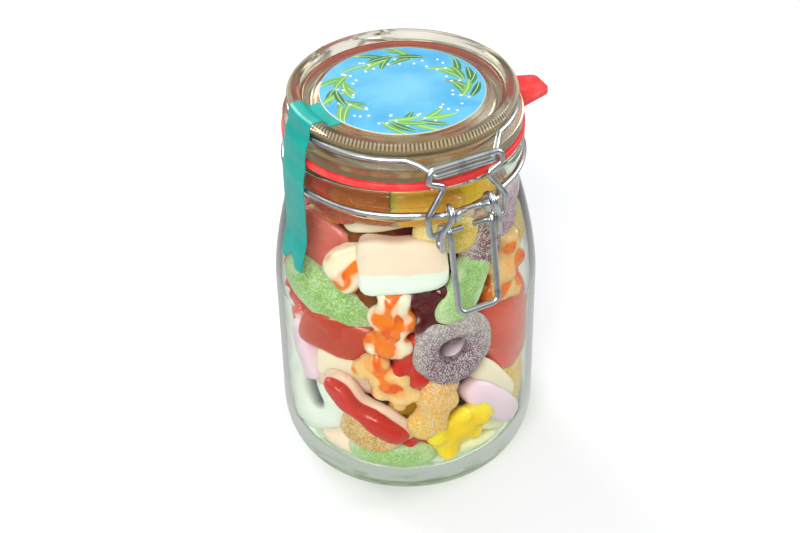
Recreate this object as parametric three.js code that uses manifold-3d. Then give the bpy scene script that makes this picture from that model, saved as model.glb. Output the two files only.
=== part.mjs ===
// A one-litre preserving jar with a wire clasp, filled with mixed gummy sweets.
//
// Units are millimetres and +Z is up. The origin is the centre of the flat base.
// The clasp faces -Y, the hinge is at +Y, the seal's pull tab points along +X,
// and the paper ribbon hangs down the -X side.

import * as THREE from 'three';
import { mergeVertices } from 'three/addons/utils/BufferGeometryUtils.js';
import Module from 'manifold-3d';

const wasm = await Module();
wasm.setup();

const degrees = THREE.MathUtils.degToRad;
const at = (radius, z) => new THREE.Vector2(radius, z);
const vec = (x, y, z) => new THREE.Vector3(x, y, z);
const corner = (x, y, z, bend = 0) => ({ p: vec(x, y, z), bend });

// ---------------------------------------------------------------- dimensions

const GAP = 0.3; // air between neighbouring pieces
const ROUND_STEPS = 40; // facets round the glass
const QUARTER_TURN = Math.PI / 2;
const FULL_TURN = 2 * Math.PI;
const GOLDEN_ANGLE = Math.PI * (3 - Math.sqrt(5));

const WIRE = { radius: 1.25, sides: 6, ringStep: degrees(11), coilStep: degrees(36), bendStep: 0.55 };

const JAR = {
  bodyRadius: 55,
  footRadius: 45,
  footRise: 20,
  shoulderZ: 86.5,
  neckZ: 129.5,
  neckRadius: 46.6,
  beadZ: 140.5,
  beadRadius: 47.6,
  beadHalfHeight: 0.8,
  beadSlope: 1.6,
  lipRadius: 48.4,
  lipZ: 147.2,
  lipSlope: 1.8,
  lipRound: 1.4,
  topZ: 155.3,
  mouthRadius: 42,
  mouthZ: 145.5, // where the inside narrows to the mouth
  mouthRound: 0.8,
  wall: 3.2,
  floor: 5.5,
  floorRadius: 41,
  floorRise: 17.5,
  // powers that bend the shoulder between its two ends
  shoulderOut: 1.73,
  shoulderUp: 1.41,
};

const LID = {
  deckZ: 170.6,
  deckRadius: 39.2,
  rimZ: 174,
  rimInner: 41.8,
  rimRadius: 45.9,
  rimRound: 1.2,
  rimBand: 2.4,
  grooveZ: 167.5,
  grooveRadius: 43.4,
  grooveMouth: 44.9,
  grooveHalf: 2.3,
  flangeRadius: 47.8,
  flangeZ: 163.9,
  flangeRound: 0.8,
  undersideZ: 158.8,
  plugOuter: 41,
  plugInner: 37.2,
  plugZ: 153.6,
  ceilingZ: 163.8,
  ceilingRound: 1.7,
};

const SEAL = {
  outer: 48.5,
  inner: 42.4,
  bottomZ: JAR.topZ + GAP,
  thickness: 2.9,
  tabRootWidth: 23,
  tabTipWidth: 12,
  tabReach: 63.3,
  tabCorner: 3.4,
  tabTurn: degrees(-3),
};

const LABEL = { radius: 33, thickness: 0.5 };

const RIBBON = {
  width: 17.5,
  centreY: -1.6,
  thickness: 0.5,
  clear: GAP + 0.1,
  tailClear: 0.8, // lets the tail slide past the neck ring as the lid opens
  tailTopZ: 120,
  tailZ: 106.5,
  tailSteps: 6,
  notchDepth: 6,
};

// Axes of the three pivots. All of them run along X.
const LEVER_AXIS = { y: -53.6, z: 147.5 };
const CLIP_AXIS = { y: -52, z: 138 };
const HINGE_AXIS = { y: 53.5, z: 154 };

const COIL_RADIUS = 2 * WIRE.radius + GAP; // centreline of a wire wound on a wire

// Each bent wire is given by the corners of its right half.
const NECK_RING = {
  radius: 48.2,
  z: 144.5,
  arcEnd: degrees(65.5),
  front: [corner(16.6, -46, 144.7, 4), corner(11.8, LEVER_AXIS.y, LEVER_AXIS.z, 2.5)],
  rear: [
    corner(16.2, 47.4, 144.8, 3),
    corner(12.8, 53, 148.6, 3),
    corner(12.2, HINGE_AXIS.y, HINGE_AXIS.z, 2.4),
  ],
};

const LID_RING = {
  radius: 45,
  z: LID.grooveZ,
  coil: { fromTurn: degrees(390), toTurn: 0, fromX: 5, toX: 8.1 },
  rear: [
    corner(8.2, HINGE_AXIS.y + COIL_RADIUS, 161.2, 3),
    corner(9, 53.2, 166, 3),
    corner(14.4, 45.9, LID.grooveZ, 3),
  ],
  arcStart: degrees(65),
  arcEnd: degrees(-63.5),
  front: [corner(17, -44.2, 166.6, 3), corner(12.2, -49.6, 163, 1.8)],
};

const LEVER = {
  cutEnd: { turn: degrees(-25), x: 3.4 },
  cutBend: { x: 6.4, bend: 1.3 },
  coil: { fromTurn: degrees(30), toTurn: degrees(360), fromX: 6.6, toX: 9.6 },
  coilExit: corner(10, LEVER_AXIS.y - COIL_RADIUS, LEVER_AXIS.z - 1.8, 2),
  strandZ: 140.6,
  strandBend: 3,
  outerX: 12.4,
  legTopX: 9.2,
  eyeRadius: 2 * WIRE.radius + 0.35,
  eyeBottomZ: 133.9,
  eyeSteps: 5,
  handle: corner(8.8, -61.5, 104.5, 3.2),
};

// The clip lies in a plane: x across it, and s from its pivot up to its bar.
const CLIP = {
  bar: { y: -49.7, z: 166.4 },
  corners: [
    { x: 2.6, s: 0 },
    { x: 16.4, s: 0, bend: 2.6 },
    { x: 17, s: 8.8, bend: 4 },
    { x: 9.2, s: 20.2, bend: 1.6 },
    { x: 15.7, s: 23.2, bend: 1.5 },
  ],
  barEnd: { x: 15.8, bend: 2.8 },
};

const HEAP = {
  topZ: 143.2,
  topSwell: 3.6,
  dent: 4.2,
  wallGap: GAP + 0.25,
  lumps: 84,
  lumpRadius: 15,
  topLumps: 9,
  topLumpSpread: 36,
  topRows: [1, 0.8, 0.55, 0.28, 0], // shares of the mouth's radius
  rowHeight: 9,
  steps: 32,
};

// ------------------------------------------------------------------- helpers

/** Turns an outline of (radius, height) points round the Z axis. */
function turned(outline, steps = ROUND_STEPS) {
  return closed(new THREE.LatheGeometry(outline, steps).rotateX(QUARTER_TURN));
}

/** Merges shared vertices, drops flat triangles and makes the faces point out. */
function closed(source) {
  source.deleteAttribute('normal');
  source.deleteAttribute('uv');
  const geometry = mergeVertices(source, 1e-4);
  const index = geometry.index.array;
  const place = geometry.attributes.position;
  const [a, b, c] = [vec(), vec(), vec()];
  const kept = [];
  let volume = 0;
  for (let i = 0; i < index.length; i += 3) {
    const [p, q, r] = [index[i], index[i + 1], index[i + 2]];
    if (p === q || q === r || r === p) continue;
    kept.push([p, q, r]);
    a.fromBufferAttribute(place, p);
    b.fromBufferAttribute(place, q);
    c.fromBufferAttribute(place, r);
    volume += a.dot(b.cross(c));
  }
  if (volume < 0) kept.forEach((face) => face.reverse());
  geometry.setIndex(kept.flat());
  geometry.computeVertexNormals();
  return geometry;
}

function toManifold(geometry) {
  const vertProperties = new Float32Array(geometry.attributes.position.array);
  const triVerts = new Uint32Array(geometry.index.array);
  return new wasm.Manifold(new wasm.Mesh({ numProp: 3, vertProperties, triVerts }));
}

/** The part of geometry that lies inside keeper and outside cutter. */
function trimmed(geometry, keeper, cutter) {
  const rest = toManifold(geometry).intersect(toManifold(keeper)).subtract(toManifold(cutter));
  const { vertProperties, triVerts } = rest.getMesh();
  const result = new THREE.BufferGeometry();
  result.setAttribute('position', new THREE.BufferAttribute(vertProperties, 3));
  result.setIndex(new THREE.BufferAttribute(triVerts, 1));
  return closed(result);
}

/** Points of a flat arc round a centre, both ends included. */
function arcPoints(centre, radius, from, to, steps) {
  return Array.from({ length: steps + 1 }, (_, i) => {
    const angle = from + ((to - from) * i) / steps;
    return at(centre.x + radius * Math.cos(angle), centre.y + radius * Math.sin(angle));
  });
}

// -------------------------------------------------------------- wire helpers

const asCorners = (points) => points.map((p) => ({ p }));
const mirrorX = ({ p, bend }) => ({ p: vec(-p.x, p.y, p.z), bend });

/** Points along straight runs whose corners are bent to the stated radii. */
function bentPath(corners) {
  const points = [];
  corners.forEach(({ p, bend = 0 }, i) => {
    const before = corners[i - 1]?.p;
    const after = corners[i + 1]?.p;
    if (!bend || !before || !after) {
      points.push(p);
      return;
    }
    const incoming = p.clone().sub(before).normalize();
    const outgoing = after.clone().sub(p).normalize();
    const turn = incoming.angleTo(outgoing);
    const setback = bend * Math.tan(turn / 2);
    const start = p.clone().addScaledVector(incoming, -setback);
    const side = outgoing.clone().addScaledVector(incoming, -incoming.dot(outgoing)).normalize();
    const centre = start.clone().addScaledVector(side, bend);
    const steps = Math.max(2, Math.round(turn / WIRE.bendStep));
    for (let k = 0; k <= steps; k++) {
      const angle = (turn * k) / steps;
      points.push(
        centre
          .clone()
          .addScaledVector(side, -bend * Math.cos(angle))
          .addScaledVector(incoming, bend * Math.sin(angle)),
      );
    }
  });
  return points;
}

/** A curve through given points that is sampled exactly at them, so bends stay fine and runs coarse. */
class WireCurve extends THREE.Curve {
  constructor(points, isLoop) {
    super();
    this.points = points;
    this.isLoop = isLoop;
    this.spans = isLoop ? points.length : points.length - 1;
  }

  pointAtIndex(index) {
    const count = this.points.length;
    if (this.isLoop) return this.points[((index % count) + count) % count];
    return this.points[Math.min(Math.max(index, 0), count - 1)];
  }

  getPoint(t) {
    const place = t * this.spans;
    const index = Math.min(Math.floor(place + 1e-9), this.spans);
    return this.pointAtIndex(index).clone().lerp(this.pointAtIndex(index + 1), place - index);
  }

  getTangent(t) {
    const index = Math.round(t * this.spans);
    return this.pointAtIndex(index + 1).clone().sub(this.pointAtIndex(index - 1)).normalize();
  }

  getUtoTmapping(u) {
    return u;
  }
}

/** A wire with two cut ends, along the given points. */
function openWire(points) {
  const section = new THREE.Shape(arcPoints(at(0, 0), WIRE.radius, 0, FULL_TURN, WIRE.sides));
  const extrudePath = new WireCurve(points, false);
  const options = { steps: extrudePath.spans, extrudePath, curveSegments: 1, bevelEnabled: false };
  return closed(new THREE.ExtrudeGeometry(section, options));
}

/** An open wire whose left half mirrors the given right half. */
function mirroredWire(half) {
  return openWire(bentPath([...half, ...half.map(mirrorX).reverse()]));
}

/** A wire joined end to end. */
function loopedWire(points) {
  const curve = new WireCurve(points, true);
  return closed(new THREE.TubeGeometry(curve, curve.spans, WIRE.radius, WIRE.sides, true));
}

/** Corners of a wire ring between two angles, both measured from +X. */
function ringArc({ radius, z }, from, to) {
  const steps = Math.round(Math.abs(to - from) / WIRE.ringStep);
  const flat = arcPoints(at(0, 0), radius, from, to, steps);
  return asCorners(flat.map(({ x, y }) => vec(x, y, z)));
}

/** A turn about an X axis: turn 0 faces the given side of Y, and grows towards -Z. */
function aroundAxis({ y, z }, radius, side, turn, x) {
  return vec(x, y + side * radius * Math.cos(turn), z - radius * Math.sin(turn));
}

/** Corners of a helix about an X axis. */
function helix(axis, radius, side, { fromTurn, toTurn, fromX, toX }, steps) {
  const count = steps ?? Math.round(Math.abs(toTurn - fromTurn) / WIRE.coilStep);
  const points = Array.from({ length: count + 1 }, (_, i) => {
    const share = i / count;
    const turn = fromTurn + (toTurn - fromTurn) * share;
    return aroundAxis(axis, radius, side, turn, fromX + (toX - fromX) * share);
  });
  return asCorners(points);
}

// --------------------------------------------------------------------- glass

/** Outside radius of the jar's rounded shoulder at a height. */
function shoulderRadius(z) {
  const { bodyRadius, neckRadius, shoulderZ, neckZ, shoulderOut, shoulderUp } = JAR;
  const turn = Math.asin(((z - shoulderZ) / (neckZ - shoulderZ)) ** (1 / shoulderUp));
  return neckRadius + (bodyRadius - neckRadius) * Math.cos(turn) ** shoulderOut;
}

/** Outline of the shoulder, from the body up to the neck. */
function shoulderOutline(inset, steps) {
  const { shoulderZ, neckZ } = JAR;
  return Array.from({ length: steps + 1 }, (_, i) => {
    const z = shoulderZ + ((neckZ - shoulderZ) * i) / steps;
    return at(shoulderRadius(z) - inset, z);
  });
}

/** A quarter of an ellipse from the flat base up to the side. */
function footOutline(innerRadius, outerRadius, bottomZ, rise, steps) {
  return Array.from({ length: steps + 1 }, (_, i) => {
    const turn = (QUARTER_TURN * i) / steps;
    return at(innerRadius + (outerRadius - innerRadius) * Math.sin(turn), bottomZ + rise * (1 - Math.cos(turn)));
  });
}

/** Inside of the jar, from the centre of its floor up to the mouth. */
function jarInside() {
  const { bodyRadius, floorRadius, floorRise, wall, floor, neckRadius, mouthRadius, mouthZ, topZ } = JAR;
  return [
    at(0, floor),
    ...footOutline(floorRadius, bodyRadius - wall, floor, floorRise, 4),
    ...shoulderOutline(wall, 4),
    at(neckRadius - wall, JAR.beadZ),
    at(mouthRadius, mouthZ),
    at(mouthRadius, topZ - JAR.mouthRound),
  ];
}

function jarGlass() {
  const { bodyRadius, footRadius, footRise, neckRadius, beadZ, beadRadius, beadHalfHeight } = JAR;
  const { lipRadius, lipZ, topZ, lipSlope, lipRound } = JAR;
  const beadFoot = beadHalfHeight + JAR.beadSlope;
  const outside = [
    at(0, 0),
    ...footOutline(footRadius, bodyRadius, 0, footRise, 5),
    ...shoulderOutline(0, 6),
    at(neckRadius, beadZ - beadFoot),
    at(beadRadius, beadZ - beadHalfHeight),
    at(beadRadius, beadZ + beadHalfHeight),
    at(neckRadius, beadZ + beadFoot),
    at(neckRadius, lipZ - lipSlope / 2),
    at(lipRadius, lipZ + lipSlope / 2),
    at(lipRadius, topZ - lipRound),
    at(lipRadius - lipRound, topZ),
    at(JAR.mouthRadius + JAR.mouthRound, topZ),
  ];
  return turned([...outside, ...jarInside().reverse()]);
}

function lidGlass() {
  const grooveDepth = LID.grooveMouth - LID.grooveRadius;
  const groove = [1, 0.5, 0, -0.5, -1].map((share) => {
    const turn = QUARTER_TURN * share;
    return at(LID.grooveMouth - grooveDepth * Math.cos(turn), LID.grooveZ + LID.grooveHalf * Math.sin(turn));
  });
  return turned([
    at(0, LID.deckZ),
    at(LID.deckRadius, LID.deckZ),
    at(LID.deckRadius + LID.rimRound, LID.rimZ - LID.rimRound),
    at(LID.rimInner, LID.rimZ),
    at(LID.rimRadius - LID.rimRound, LID.rimZ),
    at(LID.rimRadius, LID.rimZ - LID.rimRound),
    at(LID.rimRadius, LID.rimZ - LID.rimRound - LID.rimBand),
    ...groove,
    at(LID.flangeRadius - LID.flangeRound, LID.flangeZ + LID.flangeRound / 2),
    at(LID.flangeRadius, LID.flangeZ - LID.flangeRound / 2),
    at(LID.flangeRadius, LID.undersideZ + LID.flangeRound),
    at(LID.flangeRadius - LID.flangeRound, LID.undersideZ),
    at(LID.plugOuter, LID.undersideZ),
    at(LID.plugOuter, LID.plugZ + LID.flangeRound),
    at(LID.plugOuter - LID.flangeRound, LID.plugZ),
    at(LID.plugInner, LID.plugZ),
    at(LID.plugInner, LID.ceilingZ - LID.ceilingRound),
    at(LID.plugInner - LID.ceilingRound, LID.ceilingZ),
    at(0, LID.ceilingZ),
  ]);
}

// ---------------------------------------------------------------- soft pieces

/** The rubber ring with its pull tab, as one flat outline given thickness. */
function seal() {
  const { outer, inner, bottomZ, thickness, tabRootWidth, tabTipWidth, tabReach, tabCorner, tabTurn } = SEAL;
  const rootTurn = Math.asin(tabRootWidth / 2 / outer);
  const tip = (side) => at(tabReach - tabCorner, side * (tabTipWidth / 2 - tabCorner));
  const middle = at(0, 0);
  const outline = new THREE.Shape([
    ...arcPoints(middle, outer, rootTurn, FULL_TURN - rootTurn, ROUND_STEPS),
    ...arcPoints(tip(-1), tabCorner, -QUARTER_TURN, 0, 3),
    ...arcPoints(tip(1), tabCorner, 0, QUARTER_TURN, 3),
  ]);
  outline.holes.push(new THREE.Path(arcPoints(middle, inner, FULL_TURN, 0, ROUND_STEPS)));
  const ring = new THREE.ExtrudeGeometry(outline, { depth: thickness, bevelEnabled: false });
  return closed(ring.rotateZ(tabTurn).translate(0, 0, bottomZ));
}

function label() {
  const { radius, thickness } = LABEL;
  const z = LID.deckZ + GAP + thickness / 2;
  const disc = new THREE.CylinderGeometry(radius, radius, thickness, ROUND_STEPS);
  return closed(disc.rotateX(QUARTER_TURN).translate(0, 0, z));
}

/** The ribbon's inner face, as (distance from the axis, height), from the label to the tail. */
function ribbonRoute() {
  const { clear, tailClear, tailTopZ, tailZ, tailSteps } = RIBBON;
  const tailRadius = NECK_RING.radius + WIRE.radius + tailClear;
  const tail = Array.from({ length: tailSteps + 1 }, (_, i) => {
    const z = tailTopZ + ((tailZ - tailTopZ) * i) / tailSteps;
    return at(Math.max(tailRadius, shoulderRadius(z) + 2 * clear), z);
  });
  const deck = LID.deckZ + GAP;
  return [
    at(LABEL.radius + GAP, deck),
    at(LID.deckRadius - clear, deck),
    at(LID.deckRadius + LID.rimRound - clear, LID.rimZ - LID.rimRound + GAP),
    at(LID.rimInner - GAP, LID.rimZ + GAP),
    at(LID.rimRadius - LID.rimRound, LID.rimZ + GAP),
    at(LID.rimRadius + clear, LID.rimZ - LID.rimRound),
    at(LID_RING.radius + WIRE.radius + clear, LID_RING.z),
    at(LID.flangeRadius + clear, LID.flangeZ),
    at(SEAL.outer + clear, SEAL.bottomZ + SEAL.thickness),
    at(SEAL.outer + clear, SEAL.bottomZ),
    at(tailRadius, SEAL.bottomZ - SEAL.thickness * 2),
    ...tail,
  ];
}

/** Points of the ribbon's outer face, one thickness off its route. */
function offsetRoute(route, distance) {
  return route.map((p, i) => {
    const before = route[Math.max(i - 1, 0)];
    const after = route[Math.min(i + 1, route.length - 1)];
    const along = after.clone().sub(before).normalize();
    return at(p.x - along.y * distance, p.y + along.x * distance);
  });
}

/** A strip of a turned sleeve, with a notch cut into its lower end. */
function ribbon() {
  const { width, centreY, thickness, tailZ, notchDepth } = RIBBON;
  const route = ribbonRoute();
  const sleeve = turned([...route, ...offsetRoute(route, thickness).reverse(), route[0]]);
  const reach = 2 * JAR.bodyRadius;
  const strip = new THREE.BoxGeometry(reach, width, reach).translate(-reach / 2, centreY, tailZ + reach / 2);
  const notchOutline = new THREE.Shape([at(0, notchDepth), at(-width / 4, -1), at(width / 4, -1)]);
  const notch = new THREE.ExtrudeGeometry(notchOutline, { depth: reach, bevelEnabled: false })
    .rotateX(QUARTER_TURN)
    .rotateZ(QUARTER_TURN)
    .translate(-reach, centreY, tailZ);
  return trimmed(sleeve, closed(strip), closed(notch));
}

// --------------------------------------------------------------------- wires

/** The ring round the neck: a bar for the lever in front and a bar for the lid behind. */
function neckWire() {
  const { arcEnd, front, rear } = NECK_RING;
  return loopedWire(
    bentPath([
      ...ringArc(NECK_RING, -arcEnd, arcEnd),
      ...rear,
      ...rear.map(mirrorX).reverse(),
      ...ringArc(NECK_RING, Math.PI - arcEnd, Math.PI + arcEnd),
      ...front.map(mirrorX),
      ...[...front].reverse(),
    ]),
  );
}

/** The ring round the lid: its rear ends are wound on the neck ring's bar. */
function lidWire() {
  const { coil, rear, arcStart, arcEnd, front } = LID_RING;
  return mirroredWire([
    ...helix(HINGE_AXIS, COIL_RADIUS, 1, coil),
    ...rear,
    ...ringArc(LID_RING, arcStart, arcEnd),
    ...front,
  ]);
}

/** The lever: on each side a cut end, a coil on the neck ring's bar, an eye for the clip, and a leg. */
function lever() {
  const { cutEnd, cutBend, coil, coilExit, strandZ, strandBend, outerX, legTopX, eyeRadius, eyeBottomZ } = LEVER;
  const lowerX = outerX + (legTopX - outerX) * 0.4;
  const upperX = outerX + (legTopX - outerX) * 0.6;
  const lowerEye = { fromTurn: 0, toTurn: Math.PI, fromX: outerX, toX: lowerX };
  const upperEye = { fromTurn: Math.PI, toTurn: FULL_TURN, fromX: upperX, toX: legTopX };
  return mirroredWire([
    { p: aroundAxis(LEVER_AXIS, COIL_RADIUS, -1, cutEnd.turn, cutEnd.x) },
    { p: aroundAxis(LEVER_AXIS, COIL_RADIUS, -1, cutEnd.turn, cutBend.x), bend: cutBend.bend },
    ...helix(LEVER_AXIS, COIL_RADIUS, -1, coil),
    coilExit,
    corner(outerX, CLIP_AXIS.y - eyeRadius, strandZ, strandBend),
    ...helix({ y: CLIP_AXIS.y, z: eyeBottomZ }, eyeRadius, -1, lowerEye, LEVER.eyeSteps),
    ...helix(CLIP_AXIS, eyeRadius, -1, upperEye, LEVER.eyeSteps),
    LEVER.handle,
  ]);
}

/** The clip, whose cut ends pass inwards through the lever's eyes. */
function clip() {
  const pivot = vec(0, CLIP_AXIS.y, CLIP_AXIS.z);
  const up = vec(0, CLIP.bar.y, CLIP.bar.z).sub(pivot);
  const corners = [...CLIP.corners, { ...CLIP.barEnd, s: up.length() }];
  up.normalize();
  const inPlane = ({ x, s, bend }) => ({ p: pivot.clone().setX(x).addScaledVector(up, s), bend });
  return mirroredWire(corners.map(inPlane));
}

// -------------------------------------------------------------------- sweets

/** Radius of the jar's inside at a height. */
function insideRadius(z) {
  const wall = jarInside();
  const above = wall.findIndex((p) => p.y > z);
  const [low, high] = [wall[above - 1], wall[above]];
  return THREE.MathUtils.mapLinear(z, low.y, high.y, low.x, high.x);
}

/** Places of the sweets that press on the glass, spread evenly by the golden angle. */
function wallLumps() {
  return Array.from({ length: HEAP.lumps }, (_, i) => {
    const z = JAR.floor + ((HEAP.topZ - JAR.floor) * (i + 0.5)) / HEAP.lumps;
    const radius = insideRadius(z);
    return vec(radius * Math.cos(GOLDEN_ANGLE * i), radius * Math.sin(GOLDEN_ANGLE * i), z);
  });
}

/** Lump centres on the heap's top, in a sunflower layout. */
function topLumps() {
  return Array.from({ length: HEAP.topLumps }, (_, i) => {
    const radius = HEAP.topLumpSpread * Math.sqrt((i + 0.3) / HEAP.topLumps);
    return vec(radius * Math.cos(GOLDEN_ANGLE * i), radius * Math.sin(GOLDEN_ANGLE * i), HEAP.topZ);
  });
}

/** How far a point is inside the nearest lump: 1 at its middle, 0 at its rim and beyond. */
function lumpShare(point, lumps) {
  const nearest = Math.min(...lumps.map((lump) => lump.distanceTo(point)));
  return Math.max(0, 1 - (nearest / HEAP.lumpRadius) ** 2);
}

/** The heap's smooth outline: along the floor, up the glass and in over the top. */
function heapOutline() {
  const outline = [at(0, JAR.floor)];
  const side = jarInside().filter((p) => p.x > 0 && p.y < JAR.mouthZ);
  side.forEach((p, i) => {
    const before = side[i - 1] ?? p;
    const pieces = Math.max(1, Math.round(before.distanceTo(p) / HEAP.rowHeight));
    for (let k = 1; k <= pieces; k++) outline.push(before.clone().lerp(p, k / pieces));
  });
  for (const share of HEAP.topRows) outline.push(at(JAR.mouthRadius * share, HEAP.topZ));
  return outline;
}

/** The heap of sweets as one solid, out to its uneven outline. */
function candyHeap() {
  const geometry = new THREE.LatheGeometry(heapOutline(), HEAP.steps).rotateX(QUARTER_TURN);
  const place = geometry.attributes.position;
  const wallCentres = wallLumps();
  const topCentres = topLumps();
  const point = vec();
  for (let i = 0; i < place.count; i++) {
    point.fromBufferAttribute(place, i);
    const radius = Math.hypot(point.x, point.y);
    const onTop = point.z > HEAP.topZ - GAP;
    const lift = onTop ? HEAP.topSwell * lumpShare(point, topCentres) : 0;
    const dent = onTop ? 0 : HEAP.dent * (1 - lumpShare(point, wallCentres));
    const share = radius > GAP ? (radius - HEAP.wallGap - dent) / radius : 1;
    place.setXYZ(i, point.x * share, point.y * share, Math.max(point.z + lift, JAR.floor + GAP));
  }
  return closed(geometry);
}

// ------------------------------------------------------------------ assembly

const FINISH = {
  glass: { color: 0xdfe9e2, roughness: 0.05, metalness: 0, transparent: true, opacity: 0.35 },
  wire: { color: 0xc9cdd1, roughness: 0.2, metalness: 1 },
  rubber: { color: 0xd8232b, roughness: 0.5, metalness: 0 },
  labelPaper: { color: 0x58c1e8, roughness: 0.35, metalness: 0 },
  ribbonPaper: { color: 0x17a79d, roughness: 0.35, metalness: 0 },
  sweets: { color: 0xe08a5a, roughness: 0.4, metalness: 0 },
};

const PIECES = [
  ['jar_glass', jarGlass, FINISH.glass],
  ['candy_heap', candyHeap, FINISH.sweets],
  ['neck_wire', neckWire, FINISH.wire],
  ['lid_glass', lidGlass, FINISH.glass],
  ['seal_ring', seal, FINISH.rubber],
  ['lid_wire', lidWire, FINISH.wire],
  ['lid_label', label, FINISH.labelPaper],
  ['ribbon_sticker', ribbon, FINISH.ribbonPaper],
  ['lever', lever, FINISH.wire],
  ['clip', clip, FINISH.wire],
];

const filledJar = new THREE.Group();
for (const [name, shape, finish] of PIECES) {
  const mesh = new THREE.Mesh(shape(), new THREE.MeshStandardMaterial(finish));
  mesh.name = name;
  filledJar.add(mesh);
}

export default filledJar;
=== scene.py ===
"""A one-litre preserving jar with a wire clasp, filled with mixed gummy sweets.

Lengths are in millimetres until a piece is finished, when its mesh is scaled to metres.
The jar stands at the origin with +Z up. The clasp faces -Y, the hinge is at +Y, the
seal's pull tab points along +X, and the paper ribbon hangs down the -X side.
"""

import logging
import math
import random
from collections.abc import Callable, Mapping, Sequence
from dataclasses import dataclass, field
from enum import Enum
from typing import Any

import bmesh
import bpy
import numpy as np
from bmesh.types import BMEdge, BMesh, BMVert
from bpy.types import ColorRamp, Curve, ID, Material, Mesh, Node, NodeSocket, Object, World
from mathutils import Matrix, Vector, noise


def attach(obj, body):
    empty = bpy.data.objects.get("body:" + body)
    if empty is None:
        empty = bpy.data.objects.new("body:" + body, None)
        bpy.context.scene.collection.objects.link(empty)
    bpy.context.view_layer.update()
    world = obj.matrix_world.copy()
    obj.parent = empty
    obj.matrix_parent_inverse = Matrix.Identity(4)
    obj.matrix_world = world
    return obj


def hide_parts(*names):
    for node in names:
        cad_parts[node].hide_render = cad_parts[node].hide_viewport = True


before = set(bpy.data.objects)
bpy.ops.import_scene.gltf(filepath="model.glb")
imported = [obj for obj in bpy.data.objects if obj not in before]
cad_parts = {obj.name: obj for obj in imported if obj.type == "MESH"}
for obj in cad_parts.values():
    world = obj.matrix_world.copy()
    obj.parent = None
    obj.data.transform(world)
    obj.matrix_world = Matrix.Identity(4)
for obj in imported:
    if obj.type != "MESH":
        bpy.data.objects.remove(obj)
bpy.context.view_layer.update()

log = logging.getLogger("jar_of_sweets")

MM = 0.001
FULL_TURN = 2.0 * math.pi
GOLDEN_ANGLE = math.pi * (3.0 - math.sqrt(5.0))

# The turn from one point of a bend to the next, and the turn past which an edge stays crisp.
BEND_STEP = math.radians(12.0)
CRISP_TURN = math.radians(50.0)

# Sizes that a piece shares with its finish or with the piece beside it.
FOOT_HOLLOW = 1.6
GROOVE_Z = 167.5
RIM_BEADS = 178
LABEL_RADIUS = 33.0


class Body(Enum):
    """The rigid bodies that pieces ride on."""

    JAR = "jar"
    LID = "lid"
    LEVER = "lever"
    CLIP = "clip"


class Slot(Enum):
    """The record's material slots."""

    GLASS = "clear_glass"
    WIRE = "bright_wire"
    RUBBER = "red_rubber"
    LABEL = "sky_blue_paper"
    RIBBON = "teal_paper"
    SWEETS = "gummy_sweets"


# ---- shader maths


class Signal:
    """A shader socket that Python's arithmetic works on."""

    def __init__(self, recipe: "Recipe", socket: NodeSocket) -> None:
        """Wraps one output socket of a recipe's node tree.

        Args:
            recipe: the recipe that the socket belongs to.
            socket: the output socket.
        """
        self.recipe = recipe
        self.socket = socket

    def __add__(self, other: "Feed") -> "Signal":
        """Self plus other."""
        return self.recipe.arithmetic("ADD", self, other)

    def __radd__(self, other: "Feed") -> "Signal":
        """Other plus self."""
        return self.recipe.arithmetic("ADD", other, self)

    def __sub__(self, other: "Feed") -> "Signal":
        """Self minus other."""
        return self.recipe.arithmetic("SUBTRACT", self, other)

    def __rsub__(self, other: "Feed") -> "Signal":
        """Other minus self."""
        return self.recipe.arithmetic("SUBTRACT", other, self)

    def __mul__(self, other: "Feed") -> "Signal":
        """Self times other."""
        return self.recipe.arithmetic("MULTIPLY", self, other)

    def __truediv__(self, other: "Feed") -> "Signal":
        """Self divided by other."""
        return self.recipe.arithmetic("DIVIDE", self, other)

    def __abs__(self) -> "Signal":
        """Self without its sign."""
        return self.recipe.arithmetic("ABSOLUTE", self)

    def __pow__(self, power: float) -> "Signal":
        """Self raised to a power."""
        return self.recipe.arithmetic("POWER", self, power)

    def function(self, operation: str, *others: "Feed") -> "Signal":
        """Applies a named Math operation.

        Args:
            operation: the Math node's operation.
            others: the operands after self.

        Returns:
            The result.
        """
        return self.recipe.arithmetic(operation, self, *others)

    def step(self, low: float, high: float) -> "Signal":
        """Rises smoothly from 0 at low to 1 at high, or falls if low is above high.

        Args:
            low: where the result is 0.
            high: where the result is 1.

        Returns:
            A number from 0 to 1.
        """
        span = {"From Min": low, "From Max": high, "Value": self}
        if low > high:
            span = {"From Min": high, "From Max": low, "Value": self, "To Min": 1.0, "To Max": 0.0}
        return self.recipe.out("ShaderNodeMapRange", {"interpolation_type": "SMOOTHSTEP"}, span, "Result")

    def parts(self) -> tuple["Signal", "Signal", "Signal"]:
        """The x, y and z of a vector."""
        split = self.recipe.node("ShaderNodeSeparateXYZ", {}, {"Vector": self})
        x, y, z = (Signal(self.recipe, split.outputs[axis]) for axis in "XYZ")
        return x, y, z


Feed = Signal | float | Sequence[float]
Settings = Mapping[str, Any]
Sockets = Mapping[str | int, Any]


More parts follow.
